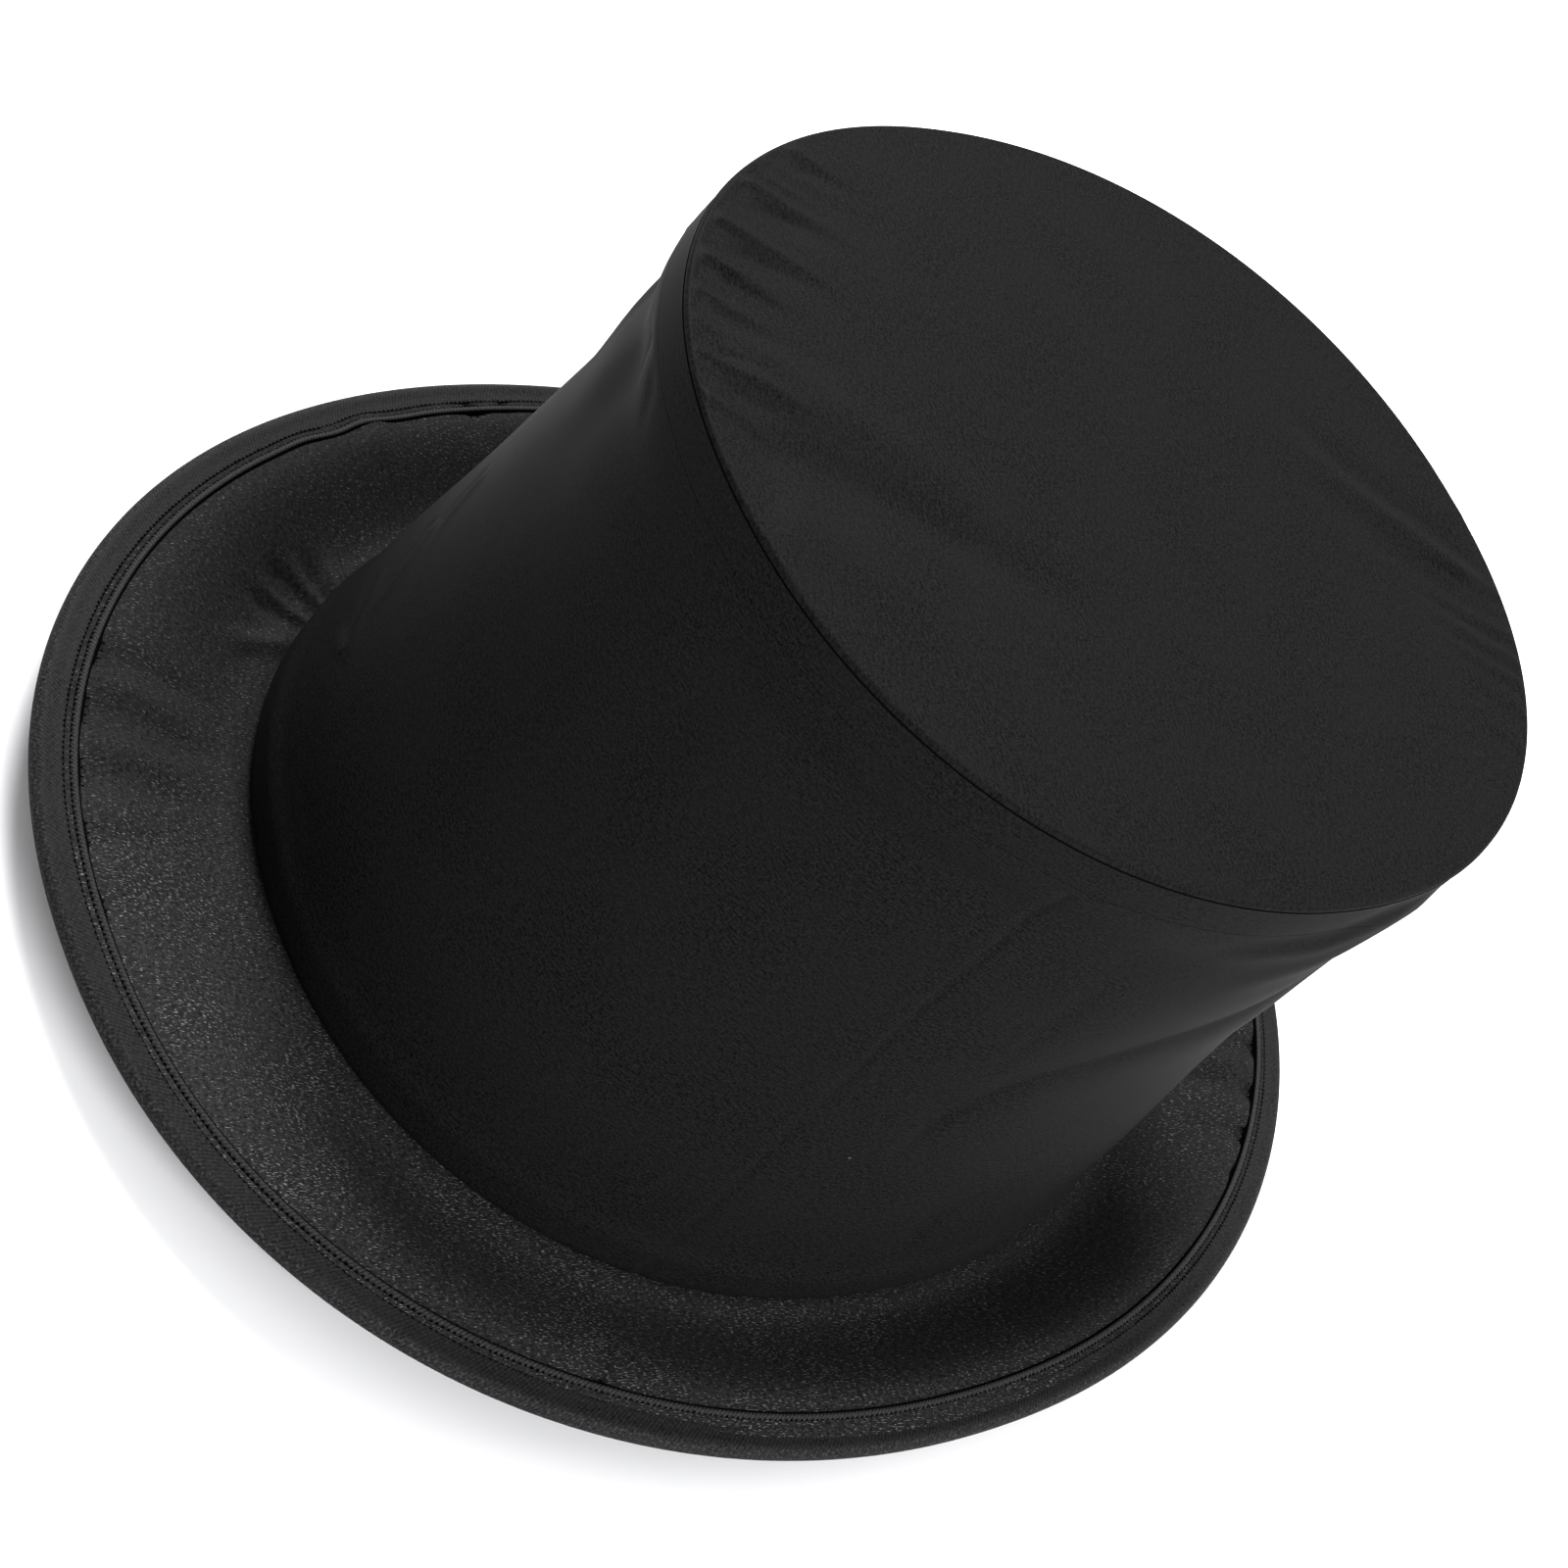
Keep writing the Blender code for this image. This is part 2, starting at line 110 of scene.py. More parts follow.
JOINTS = {joint["name"]: joint for joint in frame["joints"]}
FOLD = JOINTS["crown_fold"]
ARM_LENGTH = JOINTS["front_knee"]["pos_m"][2] - FOLD["pos_m"][2]
DROP = 2 * ARM_LENGTH * (1 - cos(radians(FOLD["range_deg"][1])))
SPLIT = top_of("foot_bracket_front") + GAP  # the wall's cloth is split into its foot and the wall at this height
HOOP_SPLIT = bottom_of("top_hoop") - GAP  # cloth above this height goes down with the top hoop
SPLIT_GAP = 0.09 * MM  # keeps cloth that moves apart from touching

COLUMNS = 640
ANGLES = tau * np.arange(COLUMNS) / COLUMNS
RANDOM = np.random.default_rng(7)


# ---------------- ovals and grids


def oval_points(oval, angles):
    """Points of a superellipse. The oval's half sizes and the angles may be arrays."""
    power = 2 / ROUNDNESS
    x, y = np.cos(angles), np.sin(angles)
    x = oval[0] * np.sign(x) * np.abs(x) ** power
    y = oval[1] * np.sign(y) * np.abs(y) ** power
    return x, y


def mix(first, second, share):
    return first + (second - first) * share


def smooth(value, low, high):
    """0 below low, 1 above high, and a smooth step between them."""
    t = np.clip((value - low) / (high - low), 0, 1)
    return t * t * (3 - 2 * t)


def bump(value, centre, width):
    return np.exp(-(((value - centre) / width) ** 2))


def turn_apart(angles, degrees):
    """Signed difference between angles and a direction in degrees, in degrees."""
    return (np.degrees(angles) - degrees + 180) % 360 - 180


def arc_lengths(oval, angles):
    """Distance along an oval from its +X end to each angle (radians, -pi to pi)."""
    fine = np.linspace(-pi, pi, 4001)
    x, y = oval_points(oval, fine)
    length = np.concatenate([[0], np.cumsum(np.hypot(np.diff(x), np.diff(y)))])
    length -= length[2000]
    return np.interp(angles, fine, length)


def soft_noise(shape, reach, rng):
    """Smooth random field in about -1 to 1 that closes round the hat."""
    field = rng.standard_normal(shape)
    frequency_y = np.fft.fftfreq(shape[0])[:, None] * reach[0]
    frequency_x = np.fft.fftfreq(shape[1])[None, :] * reach[1]
    keep = np.exp(-(frequency_y**2 + frequency_x**2) * 4)
    field = np.real(np.fft.ifft2(np.fft.fft2(field) * keep))
    return field / (np.abs(field).max() + 1e-12)


def grid_normals(points):
    """Unit normals of a grid (rows, columns, 3) whose columns close round the hat."""
    along = np.roll(points, -1, 1) - np.roll(points, 1, 1)
    up = np.gradient(points, axis=0)
    normal = np.cross(along, up)
    return normal / (np.linalg.norm(normal, axis=2, keepdims=True) + 1e-15)


def link_object(name, data, material=None):
    if material:
        data.materials.append(material)
    obj = bpy.data.objects.new(name, data)
    bpy.context.scene.collection.objects.link(obj)
    return obj


def attach(piece, body, slot, *nodes):
    """Rides a piece on a body, in place of CAD nodes, which it hides. The slot is not used."""
    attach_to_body(piece, body)
    if nodes:
        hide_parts(*nodes)


def make_mesh(name, verts, faces, normals, uvs):
    """A mesh from arrays: faces is a list of index arrays; normals and uvs follow the face corners."""
    mesh = bpy.data.meshes.new(name)
    mesh.from_pydata(verts.tolist(), [], [face for block in faces for face in block.tolist()])
    mesh.shade_smooth()
    layer = mesh.uv_layers.new(name="UVMap")
    layer.data.foreach_set("uv", np.concatenate(uvs).astype(np.float32).ravel())
    if normals is not None:
        mesh.normals_split_custom_set(np.concatenate(normals).tolist())
    return mesh


class Skin:
    """Faces gathered for a mesh, with the normal and the uv of each of their corners."""

    def __init__(self):
        self.faces, self.normals, self.uvs = [], [], []

    def add(self, faces, normals, uvs, flip=False):
        if flip:
            faces, normals, uvs = faces[:, ::-1], -normals[:, ::-1], uvs[:, ::-1]
        self.faces.append(faces)
        self.normals.append(normals.reshape(-1, 3))
        self.uvs.append(uvs.reshape(-1, 2))

    def add_band(self, near, far, flip=False):
        """Quads between two closed rows, each given by its vertex indices, normals and uvs."""
        following = [np.roll(part, -1, 0) for part in (near[0], far[0], near[1], far[1])]
        quads = np.stack([near[0], following[0], following[1], far[0]], 1)
        normals = np.stack([near[1], following[2], following[3], far[1]], 1)
        uvs = np.stack([near[2][:-1], near[2][1:], far[2][1:], far[2][:-1]], 1)
        self.add(quads, normals, uvs, flip)

    def make(self, name, verts, material):
        mesh = make_mesh(name, verts, self.faces, self.normals, self.uvs)
        return link_object(name, mesh, material)


def add_sheet(name, points, stock, uv, material, normals=None, inner_step=4, lid=False):
    """A cloth sheet: a grid of outer points, an inner skin one stock behind it, and its rims.

    Rows and columns run so that columns x rows points outwards. uv has one column more than points.
    With lid the last row closes on its middle.
    """
    rows, columns = points.shape[:2]
    if normals is None:
        normals = grid_normals(points)
    picked = sorted(set(range(0, rows, inner_step)) | {rows - 1})
    inner = points[picked] - normals[picked] * stock
    verts = [points.reshape(-1, 3), inner.reshape(-1, 3)]
    index = np.arange((rows + len(picked)) * columns).reshape(-1, columns)
    outside = [(index[i], normals[i], uv[i]) for i in range(rows)]
    inside = [(index[rows + k], normals[i], uv[i]) for k, i in enumerate(picked)]
    skin = Skin()
    for near, far in zip(outside, outside[1:]):
        skin.add_band(near, far)
    for near, far in zip(inside, inside[1:]):
        skin.add_band(near, far, flip=True)
    for end, neighbour in ((0, 1), (-1, -2))[: 1 if lid else 2]:
        away = points[end] - points[neighbour]
        away /= np.linalg.norm(away, axis=1, keepdims=True)
        first = end == 0
        facing = -away if first else away
        rims = [(skin_rows[end][0], facing, uv[end]) for skin_rows in (outside, inside)]
        skin.add_band(*rims, flip=first)
    if lid:
        up = normals[-1].mean(0)
        up = np.broadcast_to(up / np.linalg.norm(up), (columns, 3, 3))
        middle_uv = np.tile(uv[-1][:-1].mean(0), (columns, 1))
        lid_uv = np.stack([uv[-1][:-1], uv[-1][1:], middle_uv], 1)
        for ring, edge, flip in ((outside[-1][0], points[-1], False), (inside[-1][0], inner[-1], True)):
            middle = sum(len(block) for block in verts)
            verts.append(edge.mean(0)[None])
            fan = np.stack([ring, np.roll(ring, -1), np.full(columns, middle)], 1)
            skin.add(fan, up, lid_uv, flip)
    return skin.make(name, np.concatenate(verts), material)


def oval_grid(ovals, heights):
    """A grid of points: each row is an oval, given by its half sizes, at a height."""
    ovals = np.asarray(ovals, float)
    grid = np.zeros((len(ovals), COLUMNS, 3))
    grid[:, :, 0], grid[:, :, 1] = oval_points((ovals[:, 0, None], ovals[:, 1, None]), ANGLES)
    grid[:, :, 2] = np.reshape(heights, (-1, 1))
    return grid


def add_closed_ring(name, grid, uv_across, material):
    """A solid ring from a grid whose rows and columns both close. uv_across is the uv's v per row."""
    rows, columns = grid.shape[:2]
    normals = grid_normals(np.concatenate([grid[-1:], grid, grid[:1]]))[1:-1]
    index = np.arange(rows * columns).reshape(rows, columns)
    edges = wrapped_uv(grid[:, :, :2].max((0, 1)), uv_across)
    skin = Skin()
    for i in range(rows):
        k = (i + 1) % rows
        skin.add_band((index[i], normals[i], edges[i]), (index[k], normals[k], edges[i + 1]))
    return skin.make(name, grid.reshape(-1, 3), material)


def add_tubes(name, verts, material):
    """Closed tubes from an array of points: tube, ring along it and side of the ring."""
    index = np.arange(verts.size // 3).reshape(verts.shape[:3])
    beside = np.roll(index, -1, 2)
    quads = np.stack([index[:, :-1], beside[:, :-1], beside[:, 1:], index[:, 1:]], 3).reshape(-1, 4)
    faces = [quads, np.concatenate([index[:, 0, ::-1], index[:, -1]])]
    verts = verts.reshape(-1, 3)
    uvs = [verts[block.reshape(-1)][:, :2] for block in faces]
    return link_object(name, make_mesh(name, verts, faces, None, uvs), material)


def flat_uv(points):
    """UVs from a grid's own x and y, for cloth cut from one flat piece."""
    uv = points[:, :, :2]
    return np.concatenate([uv, uv[:, :1]], 1)


def wrapped_uv(oval, heights):
    """UVs for cloth wrapped round an oval: the distance round it, and the height."""
    around = arc_lengths(oval, np.linspace(-pi, pi, COLUMNS + 1))
    return np.stack(np.meshgrid(around, heights), 2)


# ---------------- folds


def fold_field(u, v, path, height, width, shape="ridge", fade=(0.15, 0.6)):
    """Relief of one fold along a path in the (u, v) plane. A pair of widths is its left and right.

    A ridge is a hump, or a groove if height is negative. A pleat is a groove beside a hump. A crease
    is a hump with a sharp line along its top.
    """
    path = np.array(path, float)
    left, right = width if isinstance(width, tuple) else (width, width)
    steps = np.linalg.norm(np.diff(path, axis=0), axis=1)
    starts = np.concatenate([[0], np.cumsum(steps)])
    best = np.full(u.shape, 1e9)
    offset = np.zeros(u.shape)
    share = np.zeros(u.shape)
    for i, step in enumerate(steps):
        direction = (path[i + 1] - path[i]) / step
        du, dv = u - path[i, 0], v - path[i, 1]
        along = du * direction[0] + dv * direction[1]
        inside = np.clip(along, 0, step)
        across = direction[0] * dv - direction[1] * du
        distance = np.hypot(along - inside, across)
        near = distance < best
        best = np.where(near, distance, best)
        offset = np.where(near, across, offset)
        share = np.where(near, (starts[i] + inside) / starts[-1], share)
    size = np.where(offset > 0, left, right)
    taper = smooth(share, 0, fade[0]) * (1 - smooth(share, 1 - fade[1], 1))
    reach = best / size
    if shape == "pleat":
        return height * taper * 2.3 * np.sign(offset) * reach * np.exp(-(reach**2))
    if shape == "crease":
        return height * taper * np.exp(-np.sqrt(reach**2 + 0.002))
    return height * taper * np.exp(-(reach**2))


def field_of(u, v, folds):
    """The relief of a list of folds, each given by what fold_field takes from its path on."""
    return sum(fold_field(u, v, *fold) for fold in folds)


# ---------------- materials


def start_material(name):
    """A new material: a function that adds a node, and one that sets the surface and returns it."""
    made = bpy.data.materials.new(name)
    made.use_nodes = True
    tree = made.node_tree

    def set_inputs(node, inputs):
        for key, value in inputs.items():
            if isinstance(value, bpy.types.NodeSocket):
                tree.links.new(value, node.inputs[key])
            else:
                node.inputs[key].default_value = value

    def add(kind, inputs=None, output=0, **settings):
        node = tree.nodes.new("ShaderNode" + kind)
        for key, value in settings.items():
            setattr(node, key, value)
        set_inputs(node, inputs or {})
        return node.outputs[output]

    def finish(base, rough, normal=None, specular=0.5, sheen=0.0, metallic=0.0):
        surface = {"Base Color": base, "Roughness": rough, "Specular IOR Level": specular}
        surface.update({"Sheen Weight": sheen, "Metallic": metallic})
        if normal is not None:
            surface["Normal"] = normal
        set_inputs(tree.nodes["Principled BSDF"], surface)
        return made

    return add, finish


def millimetres(add, source="UV", degrees=0.0, stretch=(1, 1, 1)):
    """Texture coordinates in millimetres, turned and stretched."""
    place = add("TexCoord", output=["Generated", "Normal", "UV", "Object"].index(source))
    scale = tuple(1000 / value for value in stretch)
    turned = add("VectorRotate", {"Vector": place, "Angle": radians(degrees)}, rotation_type="Z_AXIS")
    return add("VectorMath", {0: turned, 1: scale}, operation="MULTIPLY")


def noise(add, vector, scale, detail=3.0, rough=0.6):
    return add("TexNoise", {"Vector": vector, "Scale": scale, "Detail": detail, "Roughness": rough})


def remap(add, value, low, high, to_low=0.0, to_high=1.0):
    inputs = {"Value": value, "From Min": low, "From Max": high, "To Min": to_low, "To Max": to_high}
    return add("MapRange", inputs, interpolation_type="SMOOTHSTEP")


def calc(add, operation, first, second=0.0, third=0.0):
    return add("Math", {0: first, 1: second, 2: third}, operation=operation)


def weighted(add, *parts):
    """The sum of some values, each times its weight."""
    total = 0.0
    for value, weight in parts:
        total = calc(add, "MULTIPLY_ADD", value, weight, total)
    return total


def apart(add, first, second):
    return calc(add, "ABSOLUTE", calc(add, "SUBTRACT", first, second))


def grey_mix(add, factor, dark, light):
    """Mixes two colours, each a socket, a triple, or a grey that gets a trace of blue."""
    inputs = {0: factor}
    for slot, value in ((6, dark), (7, light)):
        if not isinstance(value, bpy.types.NodeSocket):
            triple = value if isinstance(value, tuple) else (value, value, value * 1.02)
            value = (*triple, 1)
        inputs[slot] = value
    return add("Mix", inputs, output=2, data_type="RGBA")


def stripes(add, vector, pitch, axis="X"):
    """Parallel ridges across one axis, from 0 to 1, pitch apart (mm)."""
    place = add("SeparateXYZ", {0: vector}, output="XYZ".index(axis))
    return remap(add, calc(add, "SINE", calc(add, "MULTIPLY", place, tau / pitch)), -1, 1)


def woven(add, vector, pitch):
    """Two crossed sets of threads."""
    return calc(add, "MULTIPLY", stripes(add, vector, pitch), stripes(add, vector, pitch, "Y"))


def relief(add, height, strength, distance):
    """A bump from a height, with its full depth in mm."""
    return add("Bump", {"Height": height, "Strength": strength, "Distance": distance * MM})


SATIN_GREY = 0.0068
SLUB_TURN = -74.0  # degrees from the slub threads' direction to the cloth's X axis
PAINTED_LIGHT_SIDE = 42.0  # degrees from the side of the brim that is painted lighter, with more and brighter slubs, to the X axis: painted light on that side, painted shade on the far side
SLUB_STRETCH = (2.2, 0.45, 1)  # a slub is long and thin
RIB_PITCH = 0.7  # mm between the tape's ribs
NICK_PITCH = 1.2  # mm between the nicks of the tape's folded edge
CHANNEL_INSET = 6.0  # mm from the brim's edge to the groove beside the hem's ridge
RIDGE_INSET = 7.3  # mm from the brim's edge to the raised ridge of the hem
HEM_INSET = 8.3  # mm from the brim's edge to the foot of the ridge


def make_satin(name):
    """Black satin: a fine mottled grain, a faint soft sheen and a few specks of lint."""
    add, finish = start_material(name)
    place = millimetres(add)
    grain = noise(add, place, 1.9, 4, 0.75)
    floats = noise(add, millimetres(add, "UV", 12, (3.5, 0.6, 1)), 1.8, 2)
    cloud = noise(add, place, 0.05, 3)
    thread = weighted(add, (grain, 0.7), (floats, 0.3))
    base = grey_mix(add, remap(add, thread, 0.36, 0.64), SATIN_GREY * 0.2, SATIN_GREY * 1.85)
    base = grey_mix(add, remap(add, cloud, 0.35, 0.65, 0, 0.35), base, SATIN_GREY * 1.3)
    lint = add("TexVoronoi", {"Vector": place, "Scale": 0.055})
    chosen = remap(add, noise(add, place, 0.031, 0), 0.52, 0.56)
    speck = calc(add, "MULTIPLY", remap(add, lint, 0.022, 0.008), chosen)
    base = grey_mix(add, speck, base, 0.1)
    rough = remap(add, thread, 0.3, 0.7, 0.48, 0.6)
    return finish(base, rough, relief(add, thread, 0.6, 0.12), specular=0.014, sheen=0.002)


def make_slub_cloth(name):
    """Plain-woven black cloth, with short shiny slubs along one thread direction."""
    add, finish = start_material(name)
    place = millimetres(add)
    patch = noise(add, place, 0.045, 3)
    # near runs from 0 to 1 towards the side of the brim that is painted lighter, as painted light; the far side is
    # painted darker, as painted shade.
    near = remap(add, add("SeparateXYZ", {0: millimetres(add, "UV", PAINTED_LIGHT_SIDE)}), 20, 125)
    slub = noise(add, millimetres(add, "UV", SLUB_TURN, SLUB_STRETCH), 2.3, 1, 0.4)
    # Painted light: more slubs towards the lighter side.
    threshold = weighted(add, (remap(add, patch, 0.35, 0.65, 0.69, 0.63), 1), (near, -0.02))
    shine = remap(add, calc(add, "SUBTRACT", slub, threshold), 0, 0.05)
    grain = noise(add, place, 1.2, 4, 0.75)
    weave = noise(add, millimetres(add, "UV", SLUB_TURN, (1.8, 0.55, 1)), 1.3, 2)
    thread = weighted(add, (grain, 0.6), (weave, 0.4))
    # Painted light and shade: the base is lighter towards one side of the brim and darker towards the other.
    base = grey_mix(add, remap(add, thread, 0.32, 0.68), 0.004, remap(add, near, 0, 1, 0.021, 0.034))
    base = grey_mix(add, remap(add, patch, 0.4, 0.62, 0, 0.3), base, 0.009)
    # Painted highlight: the slubs are brighter towards the lighter side.
    base = grey_mix(add, shine, base, remap(add, near, 0, 1, 0.07, 0.16))
    rough = remap(add, shine, 0, 1, 0.62, 0.4)
    normal = relief(add, weighted(add, (thread, 1), (shine, 0.8)), 0.5, 0.12)
    return finish(base, rough, normal, specular=remap(add, shine, 0, 1, 0.02, 0.12), sheen=0.003)


def make_tape(name):
    """Ribbed tape round the brim. Across it the UV runs from the edge inwards, in millimetres."""
    add, finish = start_material(name)
    place = millimetres(add)
    inset = add("SeparateXYZ", {0: place}, output=1)
    grain = noise(add, place, 1.3, 4, 0.75)

    # Painted shade: one dark line runs in the groove, jagged by nicks, and one along the foot of the ridge, where
    # the tape lies in shadow.
    nicks = weighted(add, (stripes(add, place, NICK_PITCH), 0.35), (noise(add, place, 0.5, 2), 0.5))
    from_channel = apart(add, inset, calc(add, "ADD", nicks, CHANNEL_INSET - 0.5))
    in_channel = remap(add, from_channel, 0.5, 0.9)
    line = calc(add, "MINIMUM", in_channel, remap(add, apart(add, inset, HEM_INSET), 0.35, 0.8))

    ribs = stripes(add, millimetres(add, "UV", 35), RIB_PITCH)
    cross = stripes(add, millimetres(add, "UV", -55), RIB_PITCH * 1.3)
    ribbed = remap(add, inset, CHANNEL_INSET, CHANNEL_INSET + 0.6, 0.35, 1)
    twill = calc(add, "MULTIPLY", ribs, remap(add, cross, 0, 1, 0.5, 1))
    twill = calc(add, "MULTIPLY", twill, ribbed)
    tone = weighted(add, (twill, 0.35), (grain, 0.75))
    base = grey_mix(add, remap(add, tone, 0.2, 0.8), 0.003, 0.036)
    base = grey_mix(add, remap(add, noise(add, place, 0.12, 3), 0.4, 0.65, 0, 0.4), base, 0.017)
    # Painted highlight: the raised ridge of the hem is painted lighter.
    on_ridge = remap(add, inset, CHANNEL_INSET + 0.5, RIDGE_INSET - 0.2, 0, 0.55)
    base = grey_mix(add, on_ridge, base, calc(add, "MULTIPLY", tone, 0.06))
    # Painted highlight: the outermost edge is painted lighter in specks, where its roll catches the light.
    specks = remap(add, noise(add, place, 1.6, 3), 0.5, 0.66)
    painted_edge_highlight = calc(add, "MULTIPLY", remap(add, inset, 2.2, 0.6), specks)
    base = grey_mix(add, painted_edge_highlight, base, 0.04)
    # Painted shade in the groove and at the foot of the ridge.
    base = grey_mix(add, line, 0.0008, base)
    rough = remap(add, grain, 0.3, 0.7, 0.5, 0.65)
    normal = relief(add, weighted(add, (twill, 1), (grain, 0.5)), 0.5, 0.15)
    # No reflection in the painted shade lines.
    return finish(base, rough, normal, specular=remap(add, line, 0, 1, 0, 0.03), sheen=0.003)


def make_lining(name):
    """Thin plain-woven lining with a crossed thread."""
    add, finish = start_material(name)
    place = millimetres(add)
    weave = woven(add, place, 0.9)
    grain = noise(add, place, 1.2, 3)
    base = grey_mix(add, calc(add, "MULTIPLY", weave, grain), 0.008, 0.03)
    rough = remap(add, grain, 0.3, 0.7, 0.5, 0.7)
    return finish(base, rough, relief(add, calc(add, "ADD", weave, grain), 0.4, 0.1), 0.35, 0.1)


def make_leather(name):
    """Soft black leather with a pebbled grain, worn a little lighter in places."""
    add, finish = start_material(name)
    place = millimetres(add)
    pebble = add("TexVoronoi", {"Vector": place, "Scale": 1.1}, feature="SMOOTH_F1")
    wear = noise(add, place, 0.08, 4)
    base = grey_mix(add, remap(add, wear, 0.35, 0.7), (0.012, 0.011, 0.010), (0.035, 0.031, 0.028))
    height = weighted(add, (pebble, -0.8), (noise(add, place, 3.0, 3), 0.3))
    rough = remap(add, wear, 0.3, 0.7, 0.5, 0.36)
    return finish(base, rough, relief(add, height, 0.5, 0.2), specular=0.4)


def make_buckram(name):
    """Stiffened open-weave board in a grey-brown."""
    add, finish = start_material(name)
    place = millimetres(add)
    weave = woven(add, place, 1.2)
    grain = noise(add, place, 1.0, 4)
    base = grey_mix(add, calc(add, "MULTIPLY", weave, grain), (0.04, 0.036, 0.03), (0.16, 0.15, 0.125))
    return finish(base, remap(add, grain, 0.3, 0.7, 0.8, 0.95), relief(add, weave, 0.5, 0.2))


def make_steel(name, grey, tint, stain):
    """Brushed strip steel: long fine scratches, faint stains and a little bright wear."""
    add, finish = start_material(name)
    place = millimetres(add, "Object")
    scratch = noise(add, millimetres(add, "Object", 0, (1, 1, 9)), 2.4, 3)
    stains = noise(add, place, 0.22, 4)
    wear = noise(add, place, 1.6, 3)
    dark, light = (tuple(grey * value * share for value in tint) for share in (0.7, 1.25))
    base = grey_mix(add, scratch, dark, light)
    base = grey_mix(add, remap(add, stains, 0.55, 0.75, 0, 0.6), base, stain)
    base = grey_mix(add, remap(add, wear, 0.68, 0.75, 0, 0.5), base, 0.55)
    rough = remap(add, scratch, 0.3, 0.7, 0.25, 0.45)
    return finish(base, rough, relief(add, scratch, 0.25, 0.05), metallic=1.0)


def make_thread(name):
    """Waxed black thread with a twist."""
    add, finish = start_material(name)
    twist = stripes(add, millimetres(add, "UV", 40), 0.35)
    base = grey_mix(add, twist, 0.0005, 0.003)
    return finish(base, 0.8, relief(add, twist, 0.5, 0.05), specular=0.004)


def make_paper_floor(name):
    """Pale paper that looks almost white, but throws less light back up at the hat."""
    add, finish = start_material(name)
    grain = noise(add, millimetres(add, "Object"), 0.02, 3)
    base = grey_mix(add, add("LightPath"), 0.74, grey_mix(add, grain, 0.9, 0.93))
    return finish(base, 0.9, specular=0.1)


SATIN = make_satin("black_satin")
SLUB_CLOTH = make_slub_cloth("black_slub_cloth")
TAPE = make_tape("black_ribbed_tape")
LINING = make_lining("black_lining")
LEATHER = make_leather("sweatband_leather")
BUCKRAM = make_buckram("buckram_board")
STEEL = make_steel("spring_steel", 0.42, (1, 1, 1.02), (0.2, 0.19, 0.18))
DARK_STEEL = make_steel("blued_steel", 0.13, (0.95, 1, 1.15), (0.05, 0.05, 0.07))
THREAD = make_thread("black_thread")


# ---------------- crown wall
# Folds of the wall are placed by direction round the hat (degrees) and height (mm). A fold is its
# path, its height and its width or widths (mm), and then its shape and its fade if they matter.

WALL_SLACK = 1.012  # how much longer round the hat the wall's cloth is cut
WALL_DRAW = 0.985  # how much shorter it is cut up and down
SEAM_TOP = -34.4  # direction of the wall's upright seam, degrees
SEAM_FOOT = -33.2
LONG_CREASE = [(20, 113), (8, 103), (-3, 93), (-14, 81), (-24, 67), (-31, 50), (-33, 26)]
WALL_FOLDS = [
    (LONG_CREASE, 2.4, (20, 26), "ridge", (0.2, 0.5)),
    (LONG_CREASE, -2.4, (8, 15), "crease", (0.2, 0.5)),
    ([(18, 133), (5, 122), (-9, 111)], 0.9, 4),
    ([(14, 135), (0, 127), (-14, 124)], 0.5, 3, "pleat"),
    ([(-92, 118), (-88, 100), (-88, 62), (-87, 40)], 0.5, 5),
    ([(-77, 130), (-77, 60)], -0.5, 7),
    ([(-118, 131), (-116, 92)], -0.7, 8),
    ([(-60, 131), (-55, 120)], -0.25, 2),
    ([(-62, 127), (-38, 127)], -0.2, 1.8),
    ([(-117, 129), (-113, 118)], -0.3, 2),
    ([(-111, 130), (-103, 121)], -0.3, 2),
    ([(-130, 71), (-127, 60), (-122, 54)], 0.4, 2.5, "pleat"),
    ([(-129, 56), (-119, 39)], 0.45, 2.5, "pleat"),
    ([(-129, 39), (-117, 34), (-127, 26)], 0.35, 2.2, "pleat"),
    ([(-104, 20), (-92, 19)], -0.2, 1.5),
    ([(-99, 13), (-79, 12)], -0.2, 1.5),
    ([(-10, 27), (10, 29)], -0.8, 9),
    ([(-90, 27), (-60, 25)], -0.3, 9),
]
HIDDEN_SIDE = (12, 225)  # directions between which the wall's folds are drawn at random
HIDDEN_FOLDS = 16


def hidden_folds():
    """Tension folds on the far side: slanted pleats that start at one hoop and die out."""
    folds = []
    for i in range(HIDDEN_FOLDS):
        start = mix(HIDDEN_SIDE[0], HIDDEN_SIDE[1], (i + RANDOM.uniform(0.2, 0.8)) / HIDDEN_FOLDS)
        lean = RANDOM.uniform(-16, 16)
        reach = RANDOM.uniform(18, 62)
        high = RANDOM.random() < 0.6
        first, last = (128, 128 - reach) if high else (15, 15 + reach)
        path = [(start, first), (start + lean * 0.4, mix(first, last, 0.5)), (start + lean, last)]
        size = RANDOM.uniform(0.3, 0.8)
        width = (RANDOM.uniform(2, 5), RANDOM.uniform(2, 6))
        folds.append((path, size, width, "pleat", (0.1, 0.7)))
    return folds


def strut_distance(degrees):
    """Angle from each direction to the nearest strut, in degrees."""
    return 45 - np.abs(np.abs(degrees) % 90 - 45)


def wall_half_sizes(heights):
    share = np.clip((heights - WALL_FOOT) / (WALL_TOP - WALL_FOOT), 0, 1)
    waist = WAIST * np.sin(pi * share) ** 2
    return [mix(foot, tip, share) - waist for foot, tip in zip(HEAD_OVAL, TIP_OVAL)]


